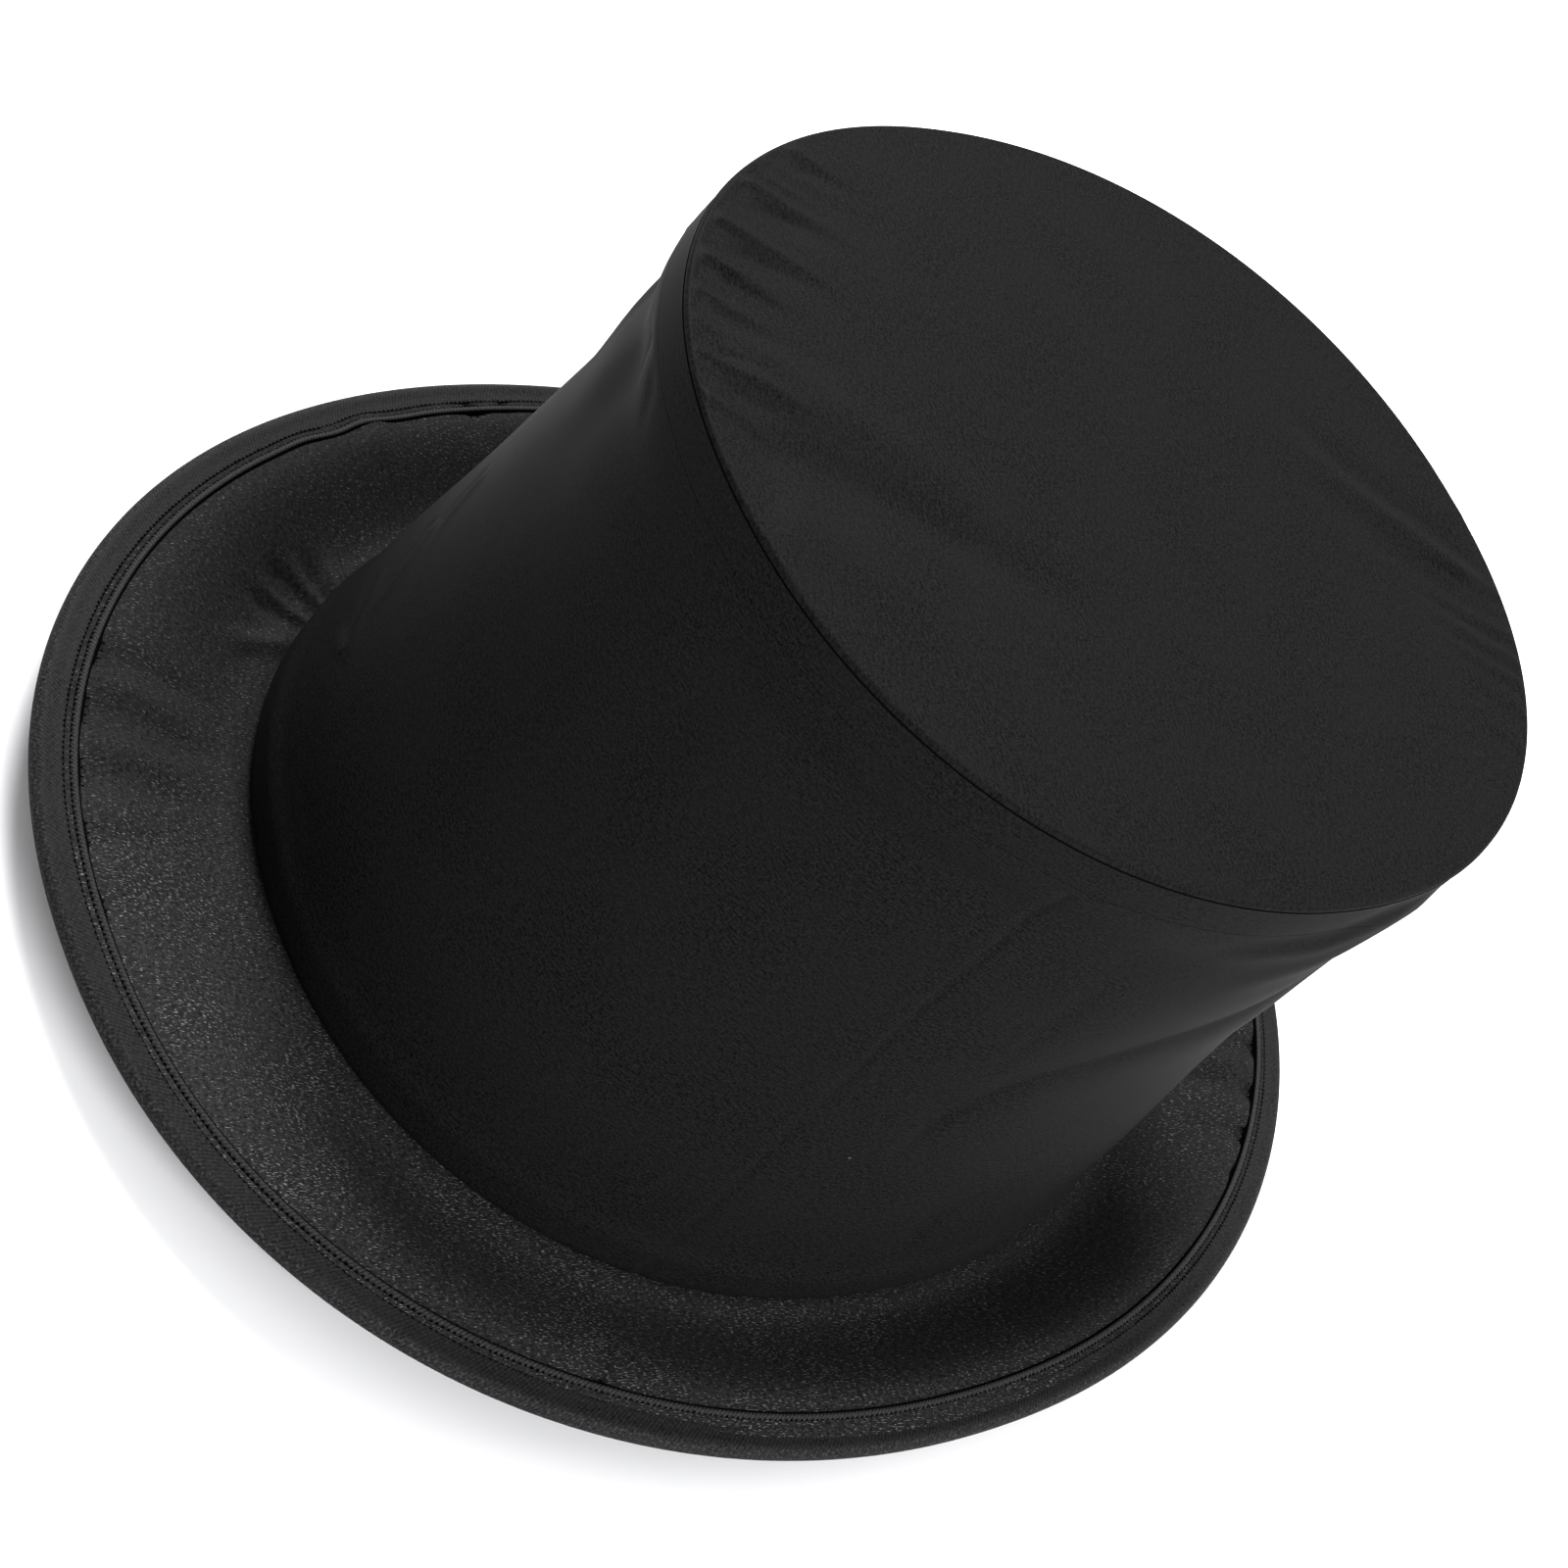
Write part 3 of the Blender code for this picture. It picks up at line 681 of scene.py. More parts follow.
def wall_relief(heights):
    """How far the wall's cloth stands out of its plain surface, in mm, at each height and column."""
    h = heights[:, None] / MM
    degrees = turn_apart(ANGLES, 0)
    mean_oval = (HEAD_OVAL + TIP_OVAL) / 2 / MM
    total = np.zeros((len(heights), COLUMNS))
    for path, *shape in WALL_FOLDS + hidden_folds():
        middle = path[0][0]
        start = arc_lengths(mean_oval, radians(middle))
        path = [(start + around_step(mean_oval, middle, turn), height) for turn, height in path]
        local = start + around_step(mean_oval, middle, middle + turn_apart(ANGLES, middle))
        total += fold_field(local[None, :], h, path, *shape)

    # The cloth stands off over the lower hoop, and draws in above it and below the top hoop.
    hoop_low, hoop_high = bottom_of("lower_hoop") / MM, top_of("lower_hoop") / MM
    total += 0.9 * smooth(h, hoop_low - 1, hoop_low + 2) * (1 - smooth(h, hoop_high, hoop_high + 5))
    total -= 0.35 * bump(h, hoop_high + 11, 7)
    draw = 0.75 * bump(h, 119, 10) + 0.6 * bump(h, 100, 18)
    between_struts = 2.8 * smooth(strut_distance(degrees), 1, 32)
    total -= between_struts[None, :] * draw * (1 - smooth(h, 118, 131))

    # The seam: one edge lies over the other, beside a stitched groove.
    seam = degrees[None, :] - mix(SEAM_FOOT, SEAM_TOP, h / (TIP_TOP / MM))
    lengths = np.unwrap(arc_lengths(mean_oval, np.radians(degrees)))
    across = seam * np.median(np.diff(lengths) / (360 / COLUMNS))
    total += 0.12 * np.exp(across / 4) * (across <= 0) - 0.45 * bump(across, 0.3, 0.8)

    loose = soft_noise(total.shape, (len(heights) * 0.22, COLUMNS * 0.03), RANDOM)
    total += 0.3 * loose * smooth(h, 14, 30) * (1 - smooth(h, 112, 128))
    return total


def keep_clear(total, heights):
    """Keeps the wall's relief (mm) off the hoops, the brackets and the struts behind it."""
    h = heights[:, None] / MM
    between = -6 * smooth(h, 11, 16) * (1 - smooth(h, 122, 129))
    near = 1 - smooth(strut_distance(turn_apart(ANGLES, 0)), 4, 12)[None, :]
    return np.maximum(total, mix(between, -0.35, near))


def wall_points(heights, proud, turns):
    """The wall's cloth at some heights and directions, standing proud of its plain surface."""
    wide, long = wall_half_sizes(heights)
    x, y = oval_points((wide[:, None] + proud, long[:, None] + proud), turns)
    return np.stack([x, y, np.broadcast_to(heights[:, None], x.shape)], 2)


# ---------------- cloth simulation

DRAPE_FRAMES = 16
DRAPE_CAP = 2.0 * MM  # how far the simulation may move the cloth
DRAPE_SETTINGS = {
    "quality": 5, "mass": 0.15, "tension_stiffness": 25, "compression_stiffness": 25,
    "shear_stiffness": 15, "bending_stiffness": 0.08, "air_damping": 4,
}


def drape(points, pinned, rest, cap):
    """Lets a grid of cloth settle towards a rest shape, held where pinned is 1.

    Returns how far each point moved along the grid's normals, at most cap.
    """
    rows, columns = points.shape[:2]
    index = np.arange(rows * columns).reshape(rows, columns)
    beside = np.roll(index, -1, 1)
    quads = np.stack([index[:-1], beside[:-1], beside[1:], index[1:]], 2).reshape(-1, 4)
    mesh = bpy.data.meshes.new("drape")
    mesh.from_pydata(points.reshape(-1, 3).tolist(), [], quads.tolist())
    obj = link_object("drape", mesh)
    obj.shape_key_add(name="Basis")
    key = obj.shape_key_add(name="rest")
    key.data.foreach_set("co", rest.astype(np.float32).ravel())
    key.value = 0
    group = obj.vertex_groups.new(name="held")
    held = np.broadcast_to(pinned, (rows, columns)).ravel()
    for level in np.unique(held[held > 0]):
        group.add(np.nonzero(held == level)[0].tolist(), float(level), "REPLACE")
    cloth = obj.modifiers.new("Cloth", "CLOTH")
    for setting, value in DRAPE_SETTINGS.items():
        setattr(cloth.settings, setting, value)
    cloth.settings.vertex_group_mass = "held"
    cloth.settings.rest_shape_key = key
    cloth.settings.effector_weights.gravity = 0.0
    cloth.collision_settings.use_collision = False
    cloth.collision_settings.use_self_collision = False
    cloth.point_cache.frame_end = DRAPE_FRAMES
    scene = bpy.context.scene
    for step in range(1, DRAPE_FRAMES + 1):
        scene.frame_set(step)
    settled = obj.evaluated_get(bpy.context.evaluated_depsgraph_get())
    coords = np.zeros(rows * columns * 3, np.float32)
    settled.data.vertices.foreach_get("co", coords)
    bpy.data.objects.remove(obj)
    scene.frame_set(1)
    moved = ((coords.reshape(points.shape) - points) * grid_normals(points)).sum(2)
    return np.clip(moved, -cap, cap)


def rows_at(field, places):
    """Rows of a field at places that may lie between two rows."""
    low = np.clip(places.astype(int), 0, len(field) - 2)
    part = (places - low)[:, None]
    return field[low] * (1 - part) + field[low + 1] * part


def enlarge(field, rows, columns):
    """Stretches a coarse field over a finer grid whose columns close round the hat."""
    wide = np.concatenate([field, field[:, :1]], 1)
    tall = rows_at(wide, np.linspace(0, len(field) - 1, rows))
    full = rows_at(tall.T, np.arange(columns) * field.shape[1] / columns).T
    full = (full + np.roll(full, 1, 1) + np.roll(full, -1, 1)) / 3
    padded = np.concatenate([full[:1], full, full[-1:]])
    return (padded[:-2] + padded[1:-1] * 2 + padded[2:]) / 4


def wall_drape(heights, proud):
    """The wall's cloth is slack round the hat and taut up and down, so it buckles between the hoops."""
    coarse = heights[::2]
    points = wall_points(coarse, proud[::2, ::2], ANGLES[::2])
    rest = points * np.array([WALL_SLACK, WALL_SLACK, WALL_DRAW])
    bottom, top = top_of("lower_hoop"), top_of("top_hoop") - 8 * MM
    free = smooth(coarse, bottom, bottom + 6 * MM) * (1 - smooth(coarse, top - 6 * MM, top))
    moved = drape(points, 1 - free[:, None], rest, DRAPE_CAP)
    return enlarge(moved, len(heights), COLUMNS)


def around_step(oval, first, last):
    """Distance along an oval between two directions in degrees, which may pass +-180."""
    mean = (np.asarray(first) + np.asarray(last)) / 2
    x, y = oval_points(oval, np.radians(mean + 0.5))
    u, v = oval_points(oval, np.radians(mean - 0.5))
    return np.hypot(x - u, y - v) * (np.asarray(last) - np.asarray(first))


def build_wall():
    foot = np.linspace(WALL_BOTTOM, SPLIT, 19)
    middle = np.linspace(SPLIT, HOOP_SPLIT, 102)
    head = np.linspace(HOOP_SPLIT, WALL_HEAD, 9)
    heights = np.concatenate([foot[:-1], middle, head[1:]])
    proud = keep_clear(wall_relief(heights), heights) * MM
    proud = proud + wall_drape(heights, proud)
    proud = keep_clear(proud / MM, heights) * MM
    points = wall_points(heights, proud, ANGLES)
    normals = grid_normals(points)
    uv = wrapped_uv(HEAD_OVAL, heights)
    cut = len(foot) - 1
    top_cut = cut + len(middle) - 1

    cloth = points[top_cut:].copy()
    cloth[0, :, 2] += SPLIT_GAP
    head = add_sheet("wall_head", cloth, CLOTH, uv[top_cut:], SATIN, normals[top_cut:])
    attach(head, "crown_top", "satin")

    # The lining hangs behind the wall and follows its larger folds.
    slack = 0.4 * MM * smooth(heights / MM, 20, 42) * (1 - smooth(heights / MM, 98, 116))
    back = points - normals * (CLOTH + PLY_GAP + slack[:, None, None])
    back[top_cut, :, 2] -= SPLIT_GAP
    hung = int(np.argmax(heights >= WALL_FOOT))
    thin = sorted(set(range(cut, top_cut + 1, 3)) | {top_cut})
    pieces = [
        ("wall_foot", points, slice(0, cut + 1), SATIN, "satin", 4, ()),
        ("wall", points, slice(cut, top_cut + 1), SATIN, "satin", 4, ["crown_wall"]),
        ("lining_foot", back, slice(hung, cut + 1), LINING, "lining", 2, ()),
        ("lining", back, thin, LINING, "lining", 2, ["crown_lining"]),
    ]
    for name, cloth, rows, material, slot, inner_step, nodes in pieces:
        piece = add_sheet(name, cloth[rows], CLOTH, uv[rows], material, normals[rows], inner_step)
        attach(piece, "base", slot, *nodes)
        if nodes:
            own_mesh(piece)


# ---------------- tip
# Folds of the tip are placed by x and y (mm).

PUCKER_TURN = radians(55)  # direction that the rim's puckers run in
LEFT_PUCKERS = [  # x, y and length
    (-69, -43, 17), (-65, -48, 20), (-58, -54, 19), (-49, -65, 24), (-42, -74, 22),
    (-35, -79, 19), (-28, -81, 18), (-22, -84, 21), (-13, -88, 18),
]
RIGHT_PUCKERS = [(22, 86, 22), (32, 82, 28), (38, 80, 24), (43, 78, 20), (49, 75, 18), (56, 68, 14)]
FAINT_PUCKERS = (78, 140, 26)  # first and last direction (degrees), and how many
TIP_FOLDS = [
    ([(-14, -92), (5, -58), (20, -35), (32, -12)], -1.4, (5, 6)),
    ([(-28, -84), (-5, -50), (12, -33)], 0.9, 5.5),
    ([(2, -90), (20, -70), (42, -58)], 0.8, 8),
    ([(20, 90), (-5, 62), (-22, 48)], 0.9, (5, 5), "pleat"),
    ([(30, 86), (8, 62), (-8, 44)], -0.7, 6),
]
TIP_EDGE = 0.8 * MM  # radius of the tip's edge
CORD = 0.28 * MM  # radius of the seam's cord of thread
SEAM_DROP = 1.1 * MM  # from the flat top down to the seam that joins it to the wall


def tip_relief(x, y):
    """Height of the tip's cloth over its plane, in mm, at places in mm."""
    folds = list(TIP_FOLDS)
    for px, py, length in LEFT_PUCKERS:
        reach = np.array([cos(PUCKER_TURN), sin(PUCKER_TURN)])
        start = np.array([px, py]) - 9 * reach
        size = RANDOM.uniform(0.4, 1.15) * 0.032 * length
        width = (RANDOM.uniform(1.6, 2.8), RANDOM.uniform(2.4, 4))
        far = start + (length * RANDOM.uniform(0.65, 0.95) + 11) * reach
        folds.append(([start, far], size, width, "pleat", (0.02, 0.75)))
        lean = PUCKER_TURN + radians(RANDOM.uniform(-9, 9))
        reach = np.array([cos(lean), sin(lean)])
        start = start + RANDOM.uniform(2.4, 4.6) * np.array([0.75, -0.6])
        size = RANDOM.uniform(0.12, 0.4)
        width = (RANDOM.uniform(1, 1.8), RANDOM.uniform(1.6, 2.6))
        far = start + length * RANDOM.uniform(0.7, 1.1) * reach
        folds.append(([start, far], size, width, "pleat", (0.02, 0.5)))
    for px, py, length in RIGHT_PUCKERS:
        start = (px + 2.6, py + 4)
        end = (px - length * 0.55, py - length * 0.83)
        size = RANDOM.uniform(0.1, 0.25) + 0.005 * length
        folds.append(([start, end], -size, (1.6, 2.4), "pleat", (0.02, 0.6)))
    total = field_of(x, y, folds)
    for start in np.linspace(*FAINT_PUCKERS):
        px, py = oval_points(TIP_OVAL / MM, radians(start))
        inwards = 1 - RANDOM.uniform(4, 9) / 90
        path = [(px, py), (px * inwards, py * inwards)]
        total += fold_field(x, y, path, RANDOM.uniform(-0.12, 0.12), 1.1, fade=(0.05, 0.8))
    return total


def build_tip():
    edge_turns = np.linspace(0, pi / 2, 7)
    insets = [0, 0, 0] + list(TIP_EDGE * (1 - np.cos(edge_turns)))
    drop = np.linspace(SEAM_DROP, TIP_EDGE, 4)[:3]
    shares = (1 - np.linspace(0, 1, 92)[1:] ** 1.08)[:-1]
    ovals = [TIP_OVAL - inset for inset in insets] + [(TIP_OVAL - TIP_EDGE) * share for share in shares]
    heights = np.concatenate([-drop, TIP_EDGE * (np.sin(edge_turns) - 1), 0 * shares]) + TIP_TOP
    points = oval_grid(ovals, heights)
    x, y = points[:, :, 0] / MM, points[:, :, 1] / MM
    wide, long = TIP_OVAL / MM
    inset = (1 - np.hypot(x / wide, y / long)) * wide
    height = tip_relief(x, y)
    height = np.maximum(height, -0.15 - 1.6 * smooth(inset, 2.5, 11))  # clear of the hoop
    mottle = soft_noise(x.shape, (30, 40), RANDOM) * smooth(inset, 3, 15) * (1 - smooth(inset, 35, 60))
    points[:, :, 2] += (height + 0.12 * mottle) * MM * smooth(inset, -0.1, 0.7)
    cover = add_sheet("tip", points, CLOTH, flat_uv(points), SATIN, inner_step=5, lid=True)
    attach(cover, "crown_top", "satin", "tip_cover")

    # The lining sags below the folds of the cover.
    shares = np.linspace(1, 0.03, 32)
    flat_oval = oval_of("tip_lining")
    under = oval_grid([flat_oval * share for share in shares], [top_of("tip_lining")] * len(shares))
    gone = 1 - shares[:, None]
    sag = 2.0 * smooth(gone, 0.02, 0.13)
    sag = sag + 0.2 * (1 + soft_noise(under.shape[:2], (9, 30), RANDOM)) * smooth(gone, 0, 0.1)
    under[:, :, 2] -= sag * MM
    lining = add_sheet("tip_backing", under, CLOTH, flat_uv(under), LINING, inner_step=1, lid=True)
    attach(lining, "crown_top", "lining", "tip_lining")


# ---------------- brim
# A fold of the brim starts and ends at a direction (degrees) and a share of the visible width, which
# is 0 at the wall. Its height and width (mm) follow.

BRIM_FOLDS = [
    (-117.5, 0.85, -119, 0.20, -1.8, 2.6),
    (-114.5, 0.80, -115, 0.25, 1.1, 2.8),
    (-111, 0.85, -113, 0.05, -2.0, 3.0),
    (-107.5, 0.80, -109, 0.15, 1.1, 2.8),
    (-104.5, 0.85, -106, 0.10, -1.9, 2.8),
    (-98.5, 0.85, -99, 0.30, -1.3, 2.6),
    (-92, 0.85, -93, 0.4, -0.7, 3.0),
    (-174, 0.82, -172, 0.5, -0.5, 3.0),
    (-163, 0.82, -160, 0.5, 0.4, 3.0),
    (-35, 0.80, -36, 0.45, -0.6, 2.2),
    (60, 0.82, 60, 0.40, -1.3, 2.0),
    (57, 0.80, 57.5, 0.35, 0.9, 2.0),
    (54, 0.82, 54.5, 0.30, -1.6, 2.2),
    (51, 0.80, 51.5, 0.45, 0.8, 2.0),
    (48, 0.82, 47, 0.35, -1.4, 2.2),
    (-139, 0.0, -140, 0.42, -1.5, 6.0),
    (-136.2, 0.0, -135.5, 0.42, -1.2, 1.5),
    (-137.8, 0.0, -138.3, 0.4, 1.3, 1.2),
    (-139.4, 0.0, -141, 0.42, -1.2, 1.4),
    (-140.9, 0.0, -143.6, 0.38, 1.2, 1.2),
    (-142.4, 0.0, -146, 0.36, -1.2, 1.4),
    (-144.5, 0.0, -149, 0.26, 0.8, 1.4),
    (-133, 0.0, -127.5, 0.36, 1.3, 2.4),
]
HIDDEN_BRIM_FOLDS = 22
DEEPEST_GROOVE = -1.4  # mm
BOARD_BOTTOM = CLOTH + 0.05 * MM
BOARD_TOP = BOARD_BOTTOM + 0.4 * MM  # below the deepest groove of the cloth over it
BINDING_WIDTH = 8.5  # mm
BINDING_EDGE = 1.7  # mm from the brim's edge to where the binding is flat
TOP_ROW = 27  # first row of the binding's section on its top face


def brim_rise(share):
    """How far the brim has swept up at a share of the width of its board."""
    return BRIM_RISE * smooth(share * BRIM_SWEEP, *BRIM_BEND)


def brim_place(degrees, share):
    """x and y (mm) at a direction and a share of the width from the wall to the edge."""
    inner = oval_points(HEAD_OVAL / MM, np.radians(degrees))
    outer = oval_points(BRIM_OVAL / MM, np.radians(degrees))
    return tuple(mix(a, b, share) for a, b in zip(inner, outer))


def brim_relief(x, y):
    """Height of the brim's cloth over its smooth sweep, in mm, at places in mm."""
    folds = []
    for first, start, last, end, height, width in BRIM_FOLDS:
        path = [brim_place(first, start), brim_place(last, end)]
        folds.append((path, height, width, "ridge", (0.12, 0.55)))
    for i in range(HIDDEN_BRIM_FOLDS):
        turn = mix(15, 205, (i + RANDOM.uniform(0.1, 0.9)) / HIDDEN_BRIM_FOLDS)
        end = brim_place(turn + RANDOM.uniform(-3, 3), RANDOM.uniform(0.4, 0.7))
        size, width = RANDOM.uniform(-0.35, 0.2), RANDOM.uniform(2, 4.5)
        folds.append(([brim_place(turn, 0.83), end], size, width, "ridge", (0.05, 0.9)))
    return field_of(x, y, folds)


def brim_points(height, rows, outwards):
    """A smooth sheet of the brim at a height over its underside. Its rows run outwards or inwards."""
    shares = np.linspace(0, 1, rows)
    ovals = [mix(OPENING_OVAL, BRIM_END_OVAL, share) for share in shares]
    order = slice(None, None, 1 if outwards else -1)
    return oval_grid(ovals[order], (brim_rise(shares) + height)[order])


def add_brim_layer(name, points, stock, material, slot, node):
    piece = add_sheet(name, points, stock, flat_uv(points), material)
    attach(piece, "base", slot, node)


def binding_points():
    """The binding's section in mm: insets and heights, from its hem underneath to the ridge on top."""
    top = top_of("brim_binding") / MM
    bottom = bottom_of("brim_binding") / MM
    middle, half = (top + bottom) / 2, (top - bottom) / 2
    rows = [(BINDING_WIDTH - step, bottom) for step in np.linspace(0, 6.6, 12)]
    for turn in np.linspace(-pi / 2, pi / 2, 15):
        rows.append((BINDING_EDGE * (1 - cos(turn)), middle + half * sin(turn)))
    for inset in np.linspace(BINDING_EDGE + 0.2, 8.6, 32):
        level = top - 0.15 * smooth(inset, 2, 4)
        level -= 0.32 * bump(inset, CHANNEL_INSET, 0.45)
        level += 0.5 * bump(inset, RIDGE_INSET, 0.75)
        level -= 0.45 * smooth(inset, 8.0, 8.6)
        rows.append((inset, level))
    return np.array(rows).T


def build_binding():
    insets, heights = binding_points()
    wander = 0.3 * soft_noise((1, COLUMNS), (1, 30), RANDOM)[0]
    kink = turn_apart(ANGLES, -160)
    wander = wander + 0.5 * np.sin(np.radians(kink * 42)) * bump(kink, 0, 6)
    on_top = (smooth(insets, 3.5, 5.5) * (heights > heights.mean()))[:, None]
    inset = (insets[:, None] + wander[None, :] * on_top) * MM
    x, y = oval_points((BRIM_OVAL[0] - inset, BRIM_OVAL[1] - inset), ANGLES)
    lumps = 0.12 * soft_noise(x.shape, (4, 70), RANDOM)
    points = np.stack([x, y, (heights[:, None] + lumps * (on_top + 0.3)) * MM], 2)

    # Across the tape the UV runs on round the edge. It equals the inset on the top face.
    steps = np.hypot(np.diff(insets), np.diff(heights))
    round_edge = insets[TOP_ROW] - np.cumsum(steps[TOP_ROW - 1::-1])[::-1]
    uv = wrapped_uv(BRIM_OVAL, np.concatenate([round_edge, insets[TOP_ROW:]]) * MM)
    piece = add_sheet("binding", points, CLOTH * 0.8, uv, TAPE, inner_step=3)
    attach(piece, "base", "ribbed_tape", "brim_binding")


def build_brim():
    cover = brim_points(BRIM_THICKNESS, 72, outwards=False)
    x, y = cover[:, :, 0] / MM, cover[:, :, 1] / MM
    wobble = 0.1 * soft_noise(x.shape, (10, 60), RANDOM)
    share = np.linspace(1, 0, len(cover))[:, None]
    lift = np.maximum(brim_relief(x, y) + wobble, DEEPEST_GROOVE) + 0.5 * smooth(share, 0.05, 0.2)
    cover[:, :, 2] += lift * MM
    add_brim_layer("brim_cloth", cover, CLOTH, SLUB_CLOTH, "slub_cloth", "brim_top_cover")
    under = brim_points(0, 48, outwards=True)
    add_brim_layer("brim_under_cloth", under, CLOTH, SLUB_CLOTH, "slub_cloth", "brim_under_cover")
    board = brim_points(BOARD_TOP, 24, outwards=False)
    stock = BOARD_TOP - BOARD_BOTTOM
    add_brim_layer("brim_stiffener", board, stock, BUCKRAM, "buckram", "brim_board")
    build_binding()


# ---------------- sweatband, stitches and wires

BAND_STOCK = 1.0  # mm
STITCH_RISE = 2.2  # mm from the foot of the sweatband to its stitches
STITCH_SIDES = 6
STITCH_FLATNESS = 0.6


def build_sweatband():
    """The band's section runs up its outside, over the top, down its inside and back underneath."""
    bottom, top = bottom_of("sweatband") / MM, top_of("sweatband") / MM
    half = BAND_STOCK / 2
    rows = [(0, bottom + 0.5 + step) for step in np.linspace(0, top - bottom - 1.2, 16)]
    rows += [(half - half * cos(t), top - 0.6 + 0.6 * sin(t)) for t in np.linspace(0.3, pi, 8)]
    rows += [(BAND_STOCK, top - 0.9 - step) for step in np.linspace(0, top - bottom - 1.5, 20)]
    rows += [(half + half * cos(t), bottom + 0.5 - 0.5 * sin(t)) for t in np.linspace(0.3, pi - 0.3, 6)]
    section = np.array(rows)
    insets, heights = section.T
    grid = oval_grid([SWEATBAND_OVAL - inset * MM for inset in insets], heights * MM)
    wave = soft_noise((1, COLUMNS), (1, 24), RANDOM)
    grid[:, :, 2] += 0.25 * MM * wave * smooth(heights, bottom + 5, top)[:, None]
    radial = grid[:, :, :2] / np.linalg.norm(grid[:, :, :2], axis=2, keepdims=True)
    pull = 0.35 * MM * smooth(insets, 0.6, 0.95) * bump(heights, bottom + STITCH_RISE, 0.5)
    grid[:, :, :2] += radial * pull[:, None, None]
    step = np.linalg.norm(np.diff(section, axis=0, append=section[:1]), axis=1)
    across = np.concatenate([[0], np.cumsum(step)]) * MM
    piece = add_closed_ring("headband", grid, across, LEATHER)
    attach(piece, "base", "sweatband", "sweatband")


def add_stitches(name, places, along, outward, length, width, slot):
    """A row of stitches: small flattened capsules at places, each along a direction."""
    lengthwise = along[:, None, :] * (np.array([-1, -0.75, 0, 0.75, 1]) * length / 2)[:, None]
    radii = np.array([0.25, 0.8, 1, 0.8, 0.25]) * width / 2
    across = np.cross(outward, along)[:, None, :]
    turns = tau * np.arange(STITCH_SIDES)[:, None] / STITCH_SIDES
    ring = across * np.cos(turns) + STITCH_FLATNESS * outward[:, None, :] * np.sin(turns)
    verts = (places[:, None, :] + lengthwise)[:, :, None] + ring[:, None] * radii[:, None, None]
    attach(add_tubes(name, verts, THREAD), "base", slot)


def stitch_line(oval, height, pitch, slant=0):
    """Places of stitches along an oval, and their directions, turned by slant degrees."""
    fine = np.linspace(-pi, pi, 4001)
    half = arc_lengths(oval, pi)
    count = int(2 * half / pitch)
    turns = np.interp(np.linspace(-half, half, count, endpoint=False), arc_lengths(oval, fine), fine)
    x, y = oval_points(oval, turns)
    ahead = np.stack(oval_points(oval, turns + 1e-3), 1) - np.stack([x, y], 1)
    u, v = (ahead / np.linalg.norm(ahead, axis=1, keepdims=True)).T
    lean = radians(slant)
    along = [u * cos(lean) - v * sin(lean), u * sin(lean) + v * cos(lean), np.zeros(count)]
    return np.stack([x, y, np.full(count, height)], 1), np.stack(along, 1)


def build_tip_seam():
    """The dark cord of thread in the seam between the tip and the wall: real stitching, and painted shade of the
    seam's crevice.
    """
    turns = tau * np.arange(8) / 8
    middle = (WALL_HEAD + TIP_TOP - SEAM_DROP) / 2
    ovals = [TIP_OVAL - CORD * (0.6 - cos(turn)) for turn in turns]
    grid = oval_grid(ovals, middle + CORD * np.sin(turns))
    attach(add_closed_ring("tip_seam", grid, np.arange(9) * CORD * 0.8, THREAD), "crown_top", "satin")


def build_stitches():
    top = top_of("brim_binding")
    rows = [  # inset (mm), height, pitch, slant (degrees), length and width
        ("hem_stitches", CHANNEL_INSET - 0.25, top - 0.42 * MM, 1.6 * MM, 62, 1.3 * MM, 0.45 * MM),
        ("hem_edge_stitches", 8.75, top - 0.62 * MM, 1.9 * MM, -58, 1.2 * MM, 0.4 * MM),
    ]
    for name, inset, height, pitch, slant, length, width in rows:
        places, along = stitch_line(BRIM_OVAL - inset * MM, height, pitch, slant)
        up = np.tile([0.0, 0.0, 1.0], (len(places), 1))
        add_stitches(name, places, along, up, length, width, "ribbed_tape")
    height = bottom_of("sweatband") + STITCH_RISE * MM
    places, along = stitch_line(SWEATBAND_OVAL - (BAND_STOCK + 0.05) * MM, height, 3.2 * MM)
    inward = -places * (1, 1, 0)
    inward /= np.linalg.norm(inward, axis=1, keepdims=True)
    places -= inward * 0.25 * MM
    add_stitches("headband_stitches", places, along, inward, 2.2 * MM, 0.5 * MM, "sweatband")


def add_wire(name, path, radius, sides, material):
    """A round wire along a path of points."""
    path = np.array(path)
    forward = np.gradient(path, axis=0)
    forward /= np.linalg.norm(forward, axis=1, keepdims=True)
    side = np.cross(forward[0], [0.3, 0.9, 0.2])
    turns = tau * np.arange(sides) / sides
    rings = []
    for point, direction in zip(path, forward):
        side = side - direction * (side @ direction)
        side /= np.linalg.norm(side)
        other = np.cross(direction, side)
        rings.append(point + radius * (np.outer(np.cos(turns), side) + np.outer(np.sin(turns), other)))
    return add_tubes(name, np.array([rings]), material)


SPRING_TURNS = 3
SPRING_RADIUS = 2.1 * MM
SPRING_WIRE = 0.35 * MM
SPRING_LEG = 7.0 * MM


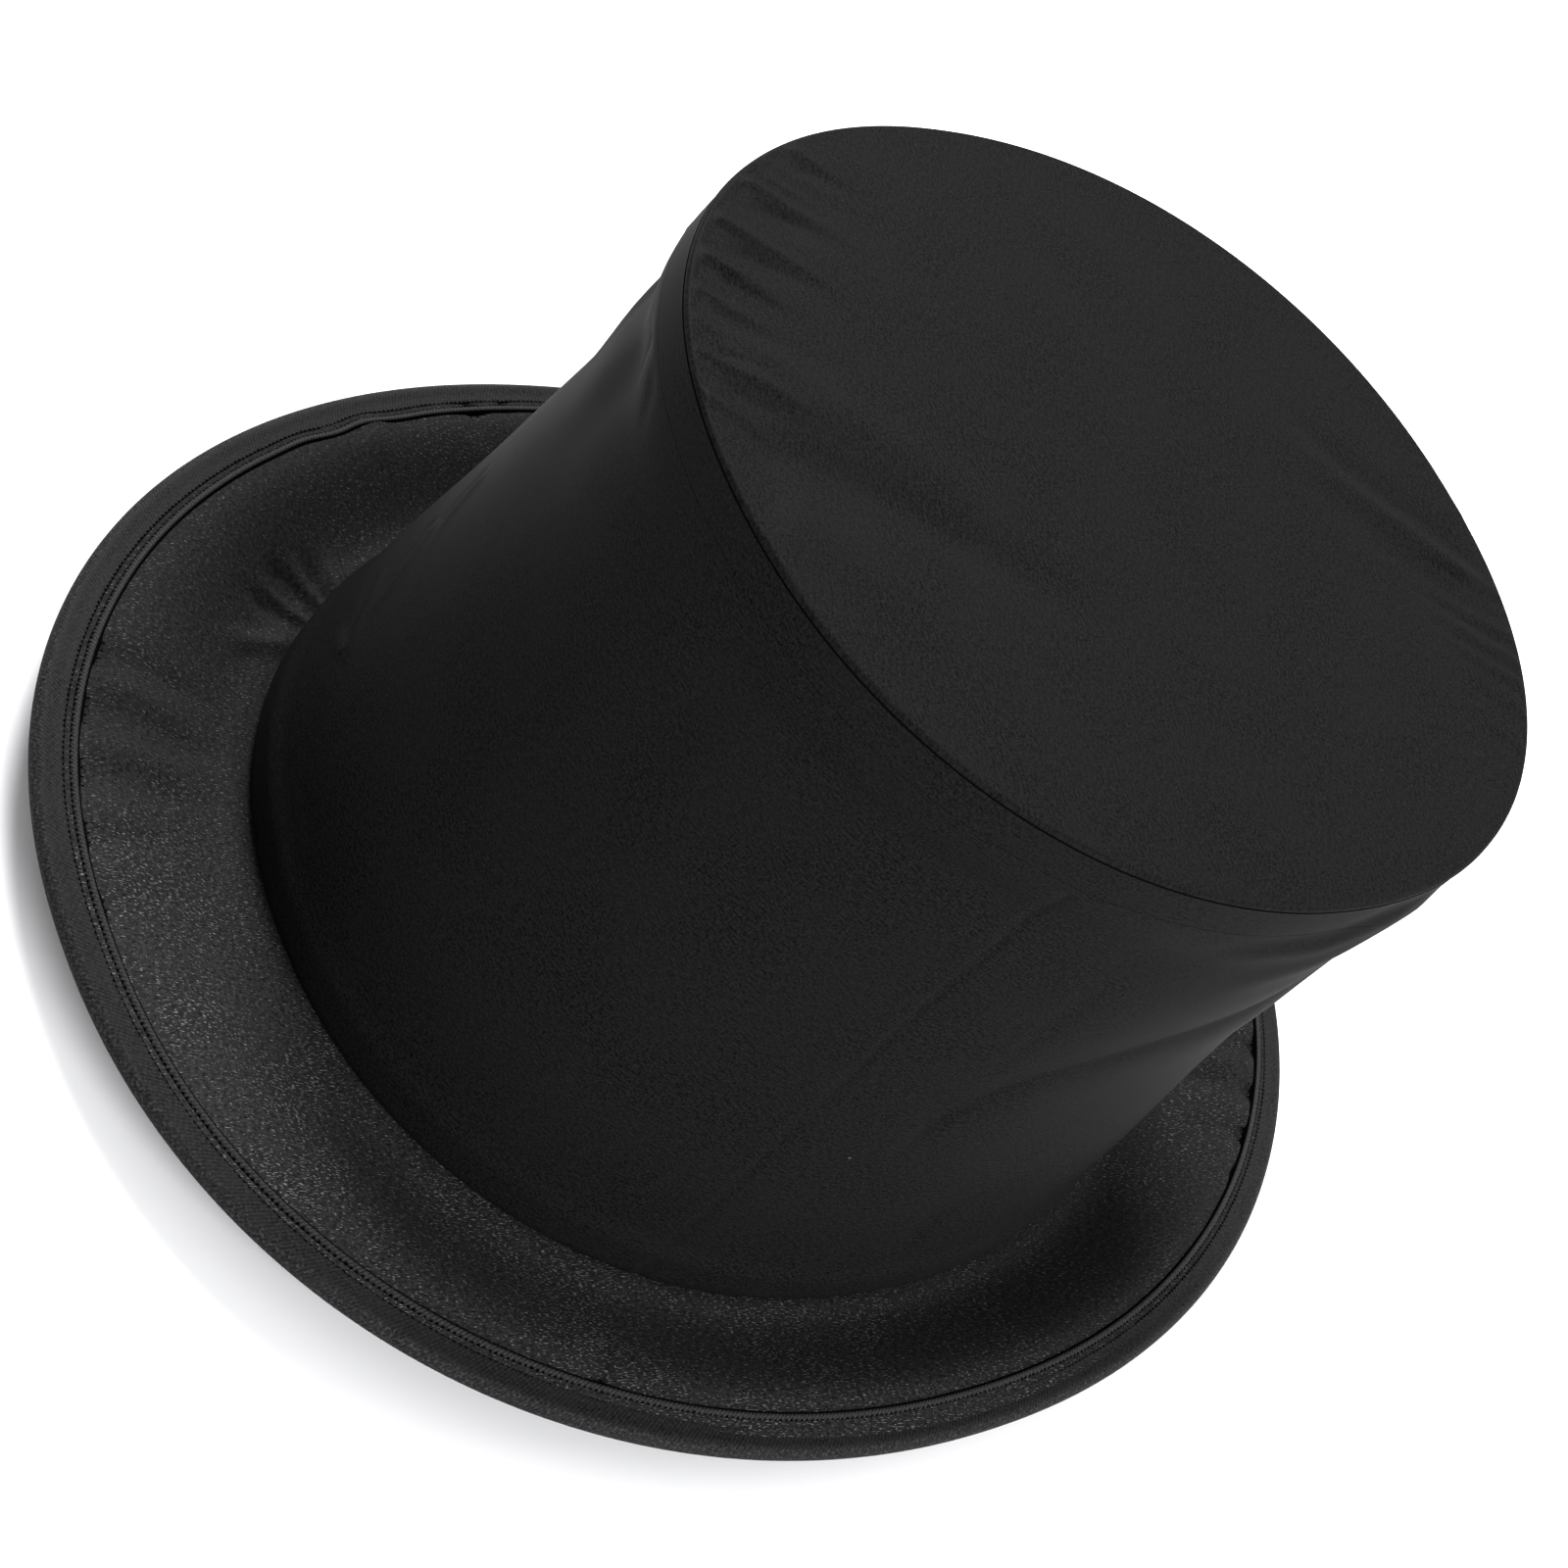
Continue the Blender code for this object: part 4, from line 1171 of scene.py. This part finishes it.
def build_spring(side):
    """A knee spring: its coil round the knee pin, and a leg along each arm."""
    knee = Vector(JOINTS[f"{side}_knee"]["pos_m"])
    out = Vector((knee.x, knee.y, 0)).normalized()
    along = Vector((0, 0, 1)).cross(out)
    low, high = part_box(f"knee_spring_{side}")
    half = abs((high - low).dot(along)) / 2 - SPRING_WIRE
    steps = SPRING_TURNS * 28
    leg = [(SPRING_RADIUS, half, SPRING_LEG * share) for share in (0.12, 0.5, 1)]
    local = [(x, -y, -z) for x, y, z in reversed(leg)]
    for share in np.linspace(0, 1, steps + 1):
        turn = tau * SPRING_TURNS * share
        local.append((SPRING_RADIUS * cos(turn), half * (2 * share - 1), SPRING_RADIUS * sin(turn)))
    path = [knee + out * x + along * y + Vector((0, 0, z)) for x, y, z in local + leg]
    wire = add_wire(f"spring_{side}", path, SPRING_WIRE, 10, STEEL)
    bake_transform(wire)
    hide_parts(f"knee_spring_{side}")


def finish_metal():
    """Procedural steel on the CAD nodes that stay."""
    finishes = {"spring_steel": STEEL, "blued_steel": DARK_STEEL}
    for part in frame["record"]["subparts"]:
        obj = frame["nodes"][part["node"]]
        material = finishes.get(part["material_slot"])
        if material and not obj.hide_render:
            for slot in obj.material_slots:
                slot.material = material


# ---------------- camera, light and floor

CAMERA_PLACE = Vector((0.1830, -0.3682, 0.3827))
CAMERA_RIGHT = Vector((0.3944, 0.7327, 0.5546)).normalized()
CAMERA_BACK = Vector((0.3496, -0.6778, 0.6469)).normalized()
LENS = 63.0
FLOOR_HALF = 6.0


def build_stage():
    camera = link_object("camera", bpy.data.cameras.new("camera"))
    up = CAMERA_BACK.cross(CAMERA_RIGHT).normalized()
    right = up.cross(CAMERA_BACK).normalized()
    turn = Matrix((right, up, CAMERA_BACK)).transposed()
    camera.matrix_world = Matrix.Translation(CAMERA_PLACE) @ turn.to_4x4()
    camera.data.lens = LENS
    camera.data.sensor_width = 36
    bpy.context.scene.camera = camera

    mesh = bpy.data.meshes.new("floor")
    corners = [(x * FLOOR_HALF, y * FLOOR_HALF, 0) for x, y in ((-1, -1), (1, -1), (1, 1), (-1, 1))]
    mesh.from_pydata(corners, [], [(0, 1, 2, 3)])
    floor = link_object("floor", mesh, make_paper_floor("pale_floor"))
    floor.location.z = -0.05 * MM

    bpy.context.scene.view_settings.view_transform = "Standard"
    world = bpy.data.worlds.new("studio")
    bpy.context.scene.world = world
    world.use_nodes = True
    background = world.node_tree.nodes["Background"]
    background.inputs["Color"].default_value = (1, 1, 1, 1)
    background.inputs["Strength"].default_value = 0.65

    # Place, size (m) and power (W) of each soft box, all aimed at the crown.
    lights = [
        ("key", (-1.1, 0.35, 1.1), 0.7, 41.0),
        ("fill", (1.5, -0.1, 0.75), 0.9, 32.0),
        ("back", (0.5, 1.4, 0.9), 1.0, 10.0),
    ]
    for name, place, width, power in lights:
        data = bpy.data.lights.new(name, "AREA")
        data.shape = "DISK"
        data.size = width
        data.energy = power
        light = link_object(name, data)
        light.location = place
        aim = Vector((0, 0, 0.06)) - light.location
        light.rotation_euler = aim.to_track_quat("-Z", "Y").to_euler()


build_brim()
build_wall()
build_tip()
build_sweatband()
build_tip_seam()
build_stitches()
for side in ("front", "right", "left", "rear"):
    build_spring(side)
finish_metal()
build_stage()
